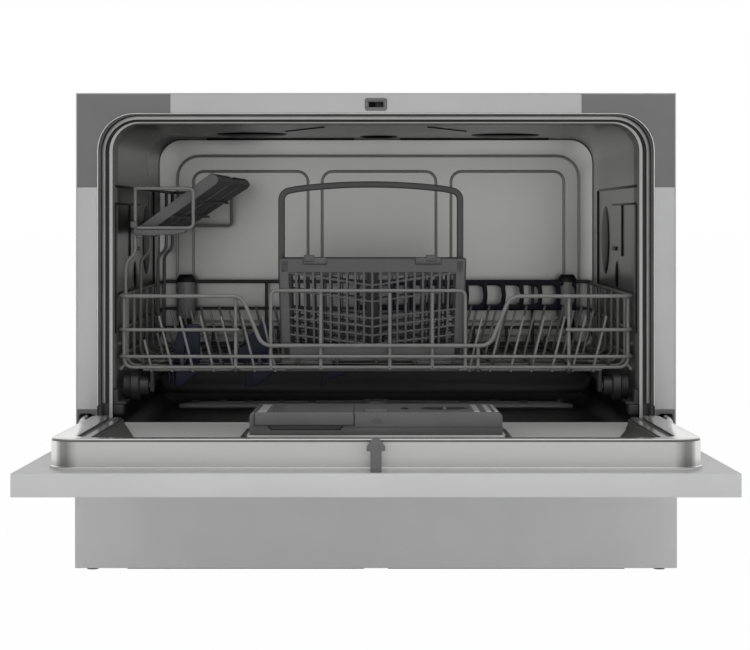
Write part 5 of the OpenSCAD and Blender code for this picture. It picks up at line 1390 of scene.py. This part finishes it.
# %% [markdown]
# A moulded rest is clipped under the front loop, and small clips hold the hinge rail to the posts.

# %% Shelf rest and clips
line = [(-229.6, 312.2), (-178.2, 312.2), (-181, 309.6), (-190, 307.6), (-215, 306.6), (-226, 307.2), (-229.6, 309.4)]
rest = loft("rest", [[Vector((x, y, z)) for x, z in line] for y in (57, 72)])
soften(rest, 0.8, 3)
parts = [rest]
for y in (61, 187, 346):
    clip = block("clip", -232.4, -225.6, y - 5, y + 5, 313.6, 320.4)
    soften(clip, 1.6, 3)
    hook = block("hook", -226.8, -220.6, y - 3, y + 3, 304.4, 308)
    soften(hook, 1.2, 3)
    parts += [clip, hook]
settle(join("shelf_rest_moulded", parts), "rack", grey_pp)

# %% [markdown]
# ## The comb and the plate clips
# Both are navy mouldings that snap onto the wires. The comb is a row of rounded openings between two
# bands. One opening's frame is modelled with its corners chamfered on one side, and repeated.

# %% Comb
c_low, c_high = drawn_box("cup_comb")
COUNT = 12
PITCH_C = (c_high.x - c_low.x) / COUNT
cell = []
outer = [Vector((c_low.x + x, 0, c_low.z + z)) for x, z in
         ((0, 0), (PITCH_C, 0), (PITCH_C, c_high.z - c_low.z), (0, c_high.z - c_low.z))]
H = c_high.z - c_low.z
bm = bmesh.new()
front = looped(bm, [Vector((p.x, c_low.y, p.z)) for p in outer])
hole_line = [(2.2, 6.6), (PITCH_C - 6.5, 6.6), (PITCH_C - 2.6, 9.4), (PITCH_C - 1.5, H / 2), (PITCH_C - 2.6, H - 8.6),
             (PITCH_C - 6.5, H - 6.2), (2.2, H - 6.2), (3.2, H / 2)]
hole = looped(bm, [Vector((c_low.x + x, c_low.y, c_low.z + z)) for x, z in hole_line])
filled(bm, front, hole)
mesh = bpy.data.meshes.new("comb")
bm.to_mesh(mesh)
bm.free()
comb = bpy.data.objects.new("cup_comb_moulded", mesh)
bpy.context.scene.collection.objects.link(comb)
clean(comb)
if comb.data.polygons[0].normal.y > 0:
    comb.data.flip_normals()
row_of(comb, COUNT, (PITCH_C, 0, 0))
clean(comb)
modify(comb, "SOLIDIFY", thickness=c_high.y - c_low.y, offset=-1.0)
soften(comb, 0.5, 2)
settle(comb, "rack", navy_pp, stands_for=["cup_comb"])
# %% [markdown]
# ## The rack
# The rack is bent from steel rod, welded and then dipped in nylon, so every corner is a bend and every
# end is rounded. Each bar is a line of points whose corners are rounded by a vertex bevel, turned into a
# curve with a round section. The rim is a little thicker than the rest. It dips at the front so that
# the basket can be reached.

# %% Front and its cutlery loop
RACK, INSIDE = 240.5, 237.0
R_Y0, R_Y1 = 45, 415
FLOOR_Z, RIM_Z, MID_Z, LOW_Z = 183, 250, 218.4, 193.3
WIRE, RIM = 1.7, 2.0
IN_Y = R_Y0 + 3.8
rim = bend_bars("rim", [[(-RACK, 64, RIM_Z), (-RACK, R_Y0, RIM_Z), (-126, R_Y0, RIM_Z), (-107, R_Y0, 203.5),
                         (107, R_Y0, 203.5), (126, R_Y0, RIM_Z), (RACK, R_Y0, RIM_Z), (RACK, 64, RIM_Z)]], RIM, 8)
rails = bend_bars("rails", [[(-RACK, 64, MID_Z), (-RACK, R_Y0, MID_Z), (-128.6, R_Y0, MID_Z)],
                            [(178.4, R_Y0, MID_Z), (RACK, R_Y0, MID_Z), (RACK, 64, MID_Z)],
                            [(-RACK, 64, LOW_Z), (-RACK, R_Y0, LOW_Z), (RACK, R_Y0, LOW_Z), (RACK, 64, LOW_Z)],
                            [(-INSIDE, IN_Y, RIM_Z), (-INSIDE, IN_Y, FLOOR_Z), (INSIDE, IN_Y, FLOOR_Z),
                             (INSIDE, IN_Y, RIM_Z)]], WIRE, 8)
loop = bend_bars("cutlery_loop", [[(-99, IN_Y, 181), (-99, IN_Y, 255), (84, IN_Y, 255), (84, IN_Y, 181)]], WIRE, 5)
posts = [[(x, IN_Y, 181), (x, IN_Y, z)] for x, z in ((-132, RIM_Z), (181.4, RIM_Z), (96, 203.5), (-52, 253),
                                                     (13, 253), (53, 253))]
posts = bend_bars("front_posts", posts, WIRE, 0)
settle(join("rack_front_bent", [rim, rails, loop, posts]), "rack", nylon_wire, stands_for=["rack_front"],
       smooth=60)
knobs = []
for x in (-132, 181.4, 96):
    bpy.ops.mesh.primitive_uv_sphere_add(segments=16, ring_count=10, radius=2.9, location=(x, IN_Y, 179.6))
    knob = bpy.context.object
    bpy.ops.object.transform_apply(location=True)
    knobs.append(knob)
settle(join("wire_end_caps", knobs), "rack", near_black)

# %% [markdown]
# The back is plain. The sides carry the ends of the U-shaped cross wires: each of these comes down one
# side, bends under the floor and goes up the other side.

# %% Back, sides and floor
corner = 20
back_rim = bend_bars("rim", [[(-RACK, R_Y1 - corner, RIM_Z), (-RACK, R_Y1, RIM_Z + 2), (RACK, R_Y1, RIM_Z + 2),
                              (RACK, R_Y1 - corner, RIM_Z)]], RIM, 9)
back_rails = bend_bars("rails", [[(-RACK, R_Y1 - corner, a), (-RACK, R_Y1, b), (RACK, R_Y1, b),
                                  (RACK, R_Y1 - corner, a)] for a, b in ((MID_Z, 222), (LOW_Z, 200.5))], WIRE, 9)
back_posts = [[(x, R_Y1 + 3.7, FLOOR_Z), (x, R_Y1 + 3.7, RIM_Z + 2)] for x in (-123, 0, 176)]
back_posts = bend_bars("posts", back_posts, WIRE, 0)
hooks = bend_bars("hooks", [[(c_low.x + 10 + 20 * i, 407.6, 172), (c_low.x + 10 + 20 * i, 407.6, 189),
                             (c_low.x + 13 + 20 * i, 407.6, 192)] for i in range(11)], 1.4, 2)
# The back wires take the darker copy of the nylon coat: painted shade.
settle(join("rack_back_bent", [back_rim, back_rails, back_posts, hooks]), "rack", shaded_nylon_wire,
       stands_for=["rack_back"], smooth=60)
CROSS_Y = [73 + 55 * k for k in range(7)]
brackets = []
for side, node in ((-1, "rack_left"), (1, "rack_right")):
    x, x_in = side * RACK, side * INSIDE
    rim = bend_bars("rim", [[(x, 63, RIM_Z), (x, R_Y1 - corner + 1, RIM_Z)]], RIM, 0)
    rails = bend_bars("rails", [[(x, 63, z), (x, R_Y1 - corner + 1, z)] for z in (MID_Z, LOW_Z)], WIRE, 0)
    ends = bend_bars("ends", [[(x_in, y, RIM_Z), (x_in, y, FLOOR_Z), (x_in - side * 30, y, FLOOR_Z)]
                              for y in CROSS_Y], WIRE, 9)
    parts = [rim, rails, ends]
    for y in (61, 393):
        plate = block("wheel_bracket", min(side * 209.5, side * 213.5), max(side * 209.5, side * 213.5), y - 6, y + 6,
                      159, 181)
        soften(plate, 1.2, 3)
        brackets.append(plate)
        bpy.ops.mesh.primitive_cylinder_add(radius=3, depth=26, vertices=32, rotation=(0, math.radians(90), 0),
                                            location=(side * 226.3, y, 165))
        axle = bpy.context.object
        bpy.ops.object.transform_apply(location=True, rotation=True)
        soften(axle, 0.8, 3)
        parts.append(axle)
    settle(join(node + "_bent", parts), "rack", nylon_wire, stands_for=[node], smooth=60)
settle(join("wheel_brackets_moulded", brackets), "rack", dark_and_shaded_smoke_pp)
cross = [[(-INSIDE + 29, y, FLOOR_Z), (INSIDE - 29, y, FLOOR_Z)] for y in CROSS_Y]
long_x = [-6 * 36.5 + 36.5 * k for k in range(13)]
long = [[(x, R_Y0 + 2, LOW_Z), (x, R_Y0 + 2, FLOOR_Z + 3.2), (x, R_Y1, FLOOR_Z + 3.2), (x, R_Y1, 200)] for x in long_x]
base = [[(-INSIDE + 8, R_Y1 - 2, FLOOR_Z), (INSIDE - 8, R_Y1 - 2, FLOOR_Z)], [(-208, 61, 179.6), (208, 61, 179.6)],
        [(-208, 393, 179.6), (208, 393, 179.6)]]
# The floor wires take the darker copy of the nylon coat: painted shade.
settle(join("rack_floor_bent", [bend_bars("cross", cross + base, WIRE, 0), bend_bars("long", long, WIRE, 6)]), "rack",
       shaded_nylon_wire, stands_for=["rack_floor"], smooth=60)

# %% [markdown]
# At the back two half-round columns stand on the rack, each with a near-black cap on top and a knob below: painted
# shade at the column's ends.
# They keep the cups from touching the tub's wall. A column is a loft of half circles.

# %% Columns at the back
def half_round(cx, y, r, z, depth):
    """A half circle in plan whose flat side looks back."""
    turns = [math.radians(180 + 180 * k / 16) for k in range(17)]
    return [Vector((cx + r * math.cos(a), y + depth * math.sin(a), z)) for a in turns]


columns, caps = [], []
for side, cx in ((-1, -212.6), (1, 214.2)):
    columns.append(loft("column", [half_round(cx, 412.5, r, z, 8.5) for r, z in ((9.6, 211), (10.2, 211.8), (10.2, 251.4),
                                                                                (9.6, 252))]))
    caps.append(loft("cap", [half_round(cx, 412.7, r, z, d) for r, z, d in ((10.8, 251.4, 9.6), (10.8, 254.5, 9.6),
                                                                           (7.4, 259.6, 7), (6.6, 260, 6.2))]))
    knob = loft("knob", [half_round(cx + side * 1.6, 412.7, r, z, 8) for r, z in ((6, 202), (7, 203), (7, 209.6),
                                                                              (6, 210.8))])
    soften(knob, 0.5, 2)
    caps.append(knob)
settle(join("rack_columns_moulded", columns), "rack", silver_abs, smooth=50)
settle(join("column_ends_painted_shade", caps), "rack", near_black, smooth=50)

# %% [markdown]
# The tines hold the plates. They lean outwards in rows, one row of seven on each side at three depths,
# and each has a rounded tip and is welded to a rail under the floor.

# %% Tines
tines, bases = [], []
for row, y in enumerate((52.6, 165.4, 278.4)):
    for side, first in ((-1, 211.6), (1, 204.8)):
        for i in range(7):
            x = first - 19.45 * i
            share = 0.55 if i == 0 and side < 0 else 1.0
            tines.append([(side * x, y, 178.6), (side * x, y, 181.5),
                          (side * (x + 12.4 * share), y, 181.5 + 49.5 * share)])
        bases.append([(side * (first + 8), y + 2.6, 180.6), (side * (first - 19.45 * 6.5), y + 2.6, 180.6)])
settle(join("tines_bent", [bend_bars("tines", tines, 1.25, 1.2), bend_bars("bases", bases, 1.5, 0)]), "rack",
       nylon_wire, stands_for=["tine_rows"], smooth=60)

# %% [markdown]
# Four kinked posts on the left carry two rails and the loops that the cup shelf rests on.

# %% Shelf posts and loops
post_runs = [[(-INSIDE, y, FLOOR_Z + 2), (-INSIDE, y, 281), (-228, y, 289.5), (-228, y, 350)]
             for y in (61, 187, 346, 411)]
loops = [[(-228, 61, 351.5), (-173, 61, 351.5), (-173, 61, 314), (-228, 61, 314)],
         [(-228, 411, 351.5), (-161.8, 411, 351.5), (-161.8, 411, 314.4), (-228, 411, 314.4)]]
rails = [[(-228, 61, 351.5), (-228, 411, 351.5)], [(-224.5, 63, 312), (-224.5, 411, 312)]]
settle(join("shelf_posts_bent", [bend_bars("posts", post_runs, WIRE, 4.5), bend_bars("loops", loops, WIRE, 4.5),
                                 bend_bars("rails", rails, WIRE, 0)]), "rack", nylon_wire,
       stands_for=["shelf_posts"], smooth=60)

# %% [markdown]
# Three navy clips snap under the floor wires. Each has a curved blade below the floor, two prongs that
# grip a wire, and the two outer ones have a leaf that stands up to steady a plate.

# %% Plate clips
def plate_from(name, line, y0, y1, r=0.6):
    """A flat plate with a drawn outline in X and Z."""
    plate = loft(name, [[Vector((x, y, z)) for x, z in line] for y in (y0, y1)])
    soften(plate, r, 2)
    return plate


clips = []
for x0, blade in ((-190.3, 1.0), (-118.3, 1.0), (-46.3, 0.55)):
    low = 14.5 * blade
    clips.append(plate_from("blade", [(x0, 184.5), (x0, 178 - low), (x0 + 2.5, 177.4 - low), (x0 + 7, 179 - low),
                                      (x0 + 11, 177 - low * 0.6), (x0 + 17, 177 - low * 0.25), (x0 + 24, 177.4),
                                      (x0 + 30, 179.5), (x0 + 31, 184.5)], 69, 72.4))
    for dx in (-6.2, -2.6):
        clips.append(plate_from("prong", [(x0 + dx - 0.9, 186), (x0 + dx - 0.9, 164), (x0 + dx + 0.9, 163),
                                          (x0 + dx + 0.9, 186)], 69.4, 72))
clips.append(plate_from("leaf", [(-192.7, 185), (-191.5, 205), (-189, 215), (-184, 221.5), (-182, 221.5), (-182, 185)],
                        69, 72.4))
clips.append(plate_from("leaf", [(-180.4, 185), (-180.4, 222.5), (-168.6, 222.5), (-167.5, 221), (-167.5, 185)],
                        69, 72.4))
clips.append(plate_from("leaf", [(-155.6, 186), (-155, 191.6), (-138, 196.5), (-122.8, 203), (-121.2, 211),
                                 (-115, 216.5), (-108, 224.6), (-103.2, 225.4), (-103.2, 186)], 69, 72.4))
settle(join("plate_clips_moulded", clips), "rack", navy_pp, stands_for=["plate_clips"])

# %% [markdown]
# ## Wheels
# Each wheel has a narrow tread, a flange that keeps it on its guide and a small inner ring, all turned
# as one profile about the axle. One wheel is shaped and copied to the other three places.

# %% Wheels
section = [(214.6, 3.1), (214.6, 7.6), (215.2, 8.6), (222.6, 9.2), (223.2, 10), (223.4, 12.9), (224, 13.5),
           (230.6, 13.5), (231.2, 12.9), (231.5, 12.2), (232, 12), (237.4, 12), (238.3, 11.2), (238.4, 9.4),
           (236.8, 9.0), (236.6, 5.6), (238.3, 5.2), (238.4, 3.1)]
turned = []
for x, r in section:
    turned.append([Vector((x, r * math.cos(2 * math.pi * k / 48), r * math.sin(2 * math.pi * k / 48)))
                   for k in range(48)])
master = loft("wheel", turned, start=False, end=False)
for side, name in ((-1, "left"), (1, "right")):
    for y, place in ((61, "front"), (393, "rear")):
        shift = Matrix.Translation((0, y, 165))
        twin = copy_of(master, f"wheel_{place}_{name}_turned", (MIRROR_X if side < 0 else Matrix.Identity(4)) @ shift)
        clean(twin)
        settle(twin, f"wheel_{place}_{name}", near_black, stands_for=[f"wheel_{place}_{name}"])
bpy.data.objects.remove(master)
# %% [markdown]
# ## The outer face of the door
# The control panel is a plain dark fascia with a glass window and four push buttons. Its edges and the
# grip's mouth are rounded by a bevel on merged copies. Each button has a shallow dish for the finger.

# %% Fascia, window, grip and board
settle(softened("control_fascia_moulded", "control_fascia", 0.9, 3, turned=True), "door", black_gloss,
       place=ON_DOOR, stands_for=["control_fascia"])
settle(softened("display_window_glass", "display_window", 0.5, 3, turned=True), "door", black_gloss, place=ON_DOOR,
       stands_for=["display_window"])
settle(softened("grip_cup_moulded", "grip_cup", 0.7, 3, turned=True), "door", trim_abs, place=ON_DOOR,
       stands_for=["grip_cup"])
board = softened("control_board_etched", "control_board", 0.2, 2, turned=True)
board_low, board_high = drawn_box("control_board", turned=True)
parts = []
for k, (w, h) in enumerate(((14, 9), (8, 8), (20, 6), (6, 12), (10, 10), (16, 5), (7, 7))):
    x = board_low.x + 24 + k * 38
    chip = block("chip", x, x + w, board_high.y - 0.1, board_high.y + 1.6, board_low.z + 9, board_low.z + 9 + h)
    soften(chip, 0.3, 2)
    parts.append(chip)
settle(board, "door", board_green, place=ON_DOOR, stands_for=["control_board"])
settle(join("board_parts_moulded", parts), "door", near_black, place=ON_DOOR)

# %% Push buttons
for name in ("power", "program", "delay", "start"):
    low, high = drawn_box("button_" + name, turned=True)
    cx, cz, r = (low.x + high.x) / 2, (low.z + high.z) / 2, (high.x - low.x) / 2
    rings = [circle_ring(cx, cz, q, y, 40) for q, y in ((r - 0.4, high.y), (r, high.y - 0.4), (r, low.y + 0.5),
                                                        (r - 0.15, low.y + 0.15), (r - 0.5, low.y),
                                                        (r - 1.1, low.y), (r - 2.2, low.y + 0.35),
                                                        (r - 4.4, low.y + 0.5))]
    settle(loft(f"button_{name}_turned", rings), "button_" + name, silver_abs, place=ON_DOOR,
           stands_for=["button_" + name])

# %% [markdown]
# ## The back
# The rear panel is folded sheet with a pressed recess for the connections. Two fields of louvres are
# pressed outwards above it, so that warm air can leave. Its screws have a cross recess. The connections
# are mouldings: a threaded inlet, a barbed drain spigot and the gland where a cord would leave.

# %% Rear panel and louvres
rear = softened("rear_panel_folded", "rear_panel", 0.5, 2)
rear_low, rear_high = drawn_box("rear_panel")
REAR_Y = max(v.co.y for v in rear.data.vertices if abs(v.co.x) < 200 and v.co.z > 200)
settle(rear, "cabinet", plated, stands_for=["rear_panel"])
louvres = []
for x0 in (-190, 110):
    section = [(0, 0), (0.3, 1.2), (1.5, 1.9), (4.2, 0.2), (4.6, 0)]
    fin = loft("louvre", [[Vector((x, REAR_Y - 0.05 + out * share, 250 + z)) for z, out in section]
                          for x, share in ((x0, 0.2), (x0 + 3, 1), (x0 + 77, 1), (x0 + 80, 0.2))])
    louvres.append(row_of(fin, 9, (0, 0, 9)))
settle(join("rear_louvres_pressed", louvres), "cabinet", plated)

# %% Screws
screws = softened("rear_screws_driven", "rear_screws", 0.25, 2)
screw_low, screw_high = drawn_box("rear_screws")
tops = [v.co.copy() for v in screws.data.vertices if v.co.y > screw_high.y - 0.05]
centres = []
for p in tops:
    if all((Vector((p.x, p.z)) - Vector((c.x, c.z))).length > 12 for c in centres):
        near = [q for q in tops if (Vector((p.x, p.z)) - Vector((q.x, q.z))).length < 9]
        centres.append(sum(near, Vector()) / len(near))
# Each cross recess is a thin near-black cross laid on the head: painted shade, not a cut.
recess_shade_bars = []
for c in centres:
    for w, h in ((0.5, 2.0), (2.0, 0.5)):
        bar = block("slot", c.x - w, c.x + w, screw_high.y - 0.1, screw_high.y + 0.04, c.z - h, c.z + h)
        soften(bar, 0.2, 2)
        recess_shade_bars.append(bar)
print("screws", len(centres))
settle(screws, "cabinet", plated, stands_for=["rear_screws"])
if recess_shade_bars:
    settle(join("screw_recess_painted_shade", recess_shade_bars), "cabinet", rubber)

# %% [markdown]
# Threads and barbs are rings: one ring is modelled and repeated along the fitting's axis.

# %% Connections
def ringed(name, node, cx, cz, r, y0, count, step, body_material, rise=0.9):
    """A softened fitting with raised rings about its axis, which points to the back."""
    fitting = softened(name, node, 0.5, 2)
    ring = loft("ring", [circle_ring(cx, cz, q, y, 40) for q, y in ((r - 0.4, y0 - step * 0.35), (r + rise, y0),
                                                                   (r - 0.4, y0 + step * 0.35))])
    row_of(ring, count, (0, step, 0))
    settle(join(name, [fitting, ring]), "cabinet", body_material, stands_for=[node], smooth=40)


ringed("inlet_valve_threaded", "inlet_valve", 34, 55, 12.6, 458, 6, 2.4, soft_grey_pp, 0.6)
ringed("drain_spigot_barbed", "drain_spigot", -100, 55, 8.6, 459, 4, 3.6, near_black, 0.7)
ringed("cord_gland_ribbed", "cord_gland", -200, 55, 9.5, 455, 3, 1.8, rubber, 0.5)

# %% [markdown]
# ## Under and behind the tub
# These parts are out of sight on the finished machine. Their edges are rounded, and each pump motor has
# cooling ribs; the heater and the hoses are only rounded.

# %% Pumps, heater and hoses
def ribbed(name, node, material, count, pitch, axis="z", out=1.2):
    """A softened block with thin ribs round it."""
    part = softened(name, node, 0.9, 3)
    low, high = drawn_box(node)
    x0, x1, y0, y1 = low.x - 0.0, high.x + 0.0, low.y, high.y
    mid = (low.z + high.z) / 2
    rib = block("rib", x0 + 6, x1 - 6, y0 + 6, y1 - 6, low.z + 12, low.z + 13.6)
    soften(rib, 0.5, 2)
    row_of(rib, count, (0, 0, pitch))
    settle(join(name, [part, rib]), "cabinet", material, stands_for=[node])


slots = {p["node"]: p["material_slot"] for p in frame["record"]["subparts"]}
ribbed("wash_pump_ribbed", "wash_pump", slot_finish[slots["wash_pump"]], 6, 5)
ribbed("drain_pump_ribbed", "drain_pump", slot_finish[slots["drain_pump"]], 5, 5)
settle(softened("water_heater_formed", "water_heater", 1.2, 3), "cabinet", plated, stands_for=["water_heater"])
settle(softened("hoses_bent", "hoses", 0.8, 2), "cabinet", rubber, stands_for=["hoses"])
settle(softened("sump_moulded", "sump", 0.8, 2), "cabinet", dark_and_shaded_smoke_pp, stands_for=["sump"])

# %% [markdown]
# ## Filter and spray arm
# The filter plate's rows of small holes round a cup are flat dark discs laid on it: painted shade. The arm is a long
# flat moulding, thickest at the middle and thinned to its ends, with near-black pads along its top that paint the shade
# in its water slots.

# %% Filter plate and cup
plate = softened("filter_plate_punched", "filter_plate", 0.3, 2)
settle(plate, "cabinet", stainless, stands_for=["filter_plate"])
holes = []
centre_y = (plate_low.y + plate_high.y) / 2
cup_low, cup_high = drawn_box("filter_cup")
for ring_r, count in ((30, 28), (36, 34), (42, 40), (48, 44), (54, 50), (60, 56)):
    for k in range(count):
        a = 2 * math.pi * k / count
        x, y = ring_r * math.cos(a), centre_y + ring_r * math.sin(a)
        clear_cup = math.hypot(x - (cup_low.x + cup_high.x) / 2, y - (cup_low.y + cup_high.y) / 2) > 23
        if clear_cup and math.hypot(x, y - SPRAY_Y) > 13:
            holes.append((x, y))
ring = [(1.4 * math.cos(2 * math.pi * k / 10), 1.4 * math.sin(2 * math.pi * k / 10)) for k in range(10)]
# Flat dark discs stand for the holes: painted shade.
bm = bmesh.new()
for x, y in holes:
    bm.faces.new([bm.verts.new((x + a, y + b, plate_high.z + 0.03)) for a, b in ring])
mesh = bpy.data.meshes.new("filter_hole_painted_shade")
bm.to_mesh(mesh)
bm.free()
spots = bpy.data.objects.new("filter_hole_painted_shade", mesh)
bpy.context.scene.collection.objects.link(spots)
settle(spots, "cabinet", rubber, smooth=0)
print("holes", len(holes))
cup = softened("filter_cup_moulded", "filter_cup", 0.8, 3)
handle = block("handle", -2, 2, (cup_low.y + cup_high.y) / 2 - 12, (cup_low.y + cup_high.y) / 2 + 12, cup_high.z - 1,
               cup_high.z + 2.6)
soften(handle, 1.2, 3)
settle(join("filter_cup_moulded", [cup, handle]), "cabinet", near_black, stands_for=["filter_cup"])
settle(softened("spray_post_moulded", "spray_post", 0.6, 3), "cabinet", near_black, stands_for=["spray_post"])

# %% Spray arm
arm_low, arm_high = drawn_box("spray_arm")
ARM_R, ARM_Z, ARM_T, HALF_W = arm_high.x - 3, 127.0, 8.6, (arm_high.y - arm_low.y) / 2
rings = []
for x in (-ARM_R, -ARM_R + 1.5, -ARM_R + 6, -ARM_R + 16, -120, -50, -24, 24, 50, 120, ARM_R - 16, ARM_R - 6, ARM_R - 1.5,
          ARM_R):
    away = abs(x) / ARM_R
    end = max(0.0, (abs(x) - (ARM_R - 16)) / 16)
    w = (HALF_W - 3 - 4.5 * away) * math.sqrt(max(0.04, 1 - end ** 2))
    t = (ARM_T - 1.6 * away) * (1 - 0.35 * end)
    rings.append([Vector((x, SPRAY_Y + w * math.cos(math.radians(a)),
                          ARM_Z + t * (0.36 if math.sin(math.radians(a)) < 0 else 0.42)
                          + t * (0.36 if math.sin(math.radians(a)) < 0 else 0.55) * math.sin(math.radians(a))))
                  for a in range(0, 360, 15)])
arm = loft("spray_arm_moulded", rings)
bpy.ops.mesh.primitive_cylinder_add(radius=13.6, depth=8.6, vertices=48, location=(0, SPRAY_Y, ARM_Z + 4.4))
hub = bpy.context.object
bpy.ops.object.transform_apply(location=True)
soften(hub, 1.2, 3)
parts = [arm, hub]
# Near-black pads along the arm's top stand for the water slots: painted shade.
nozzles = []
for k, x in enumerate((-186, -158, -130, -98, -66, 58, 90, 122, 152, 190)):
    y = SPRAY_Y + (4 if k % 2 else -4)
    nozzle = loft("nozzle", [[Vector((p.x, y + (p.z - SPRAY_Y) * 1.0, z)) for p in
                              round_rect(x - 4.2 + g, x + 4.2 - g, SPRAY_Y - 1.8 + g, SPRAY_Y + 1.8 - g, 1.2, 0, 4)]
                             for z, g in ((ARM_Z + 5, 0), (ARM_Z + 8.6, 0), (ARM_Z + 9.0, 0.4))])
    nozzles.append(nozzle)
settle(join("spray_arm_moulded", parts), "spray_arm", soft_grey_pp, stands_for=["spray_arm"],
       smooth=40)
settle(join("spray_slot_painted_shade", nozzles), "spray_arm", near_black)
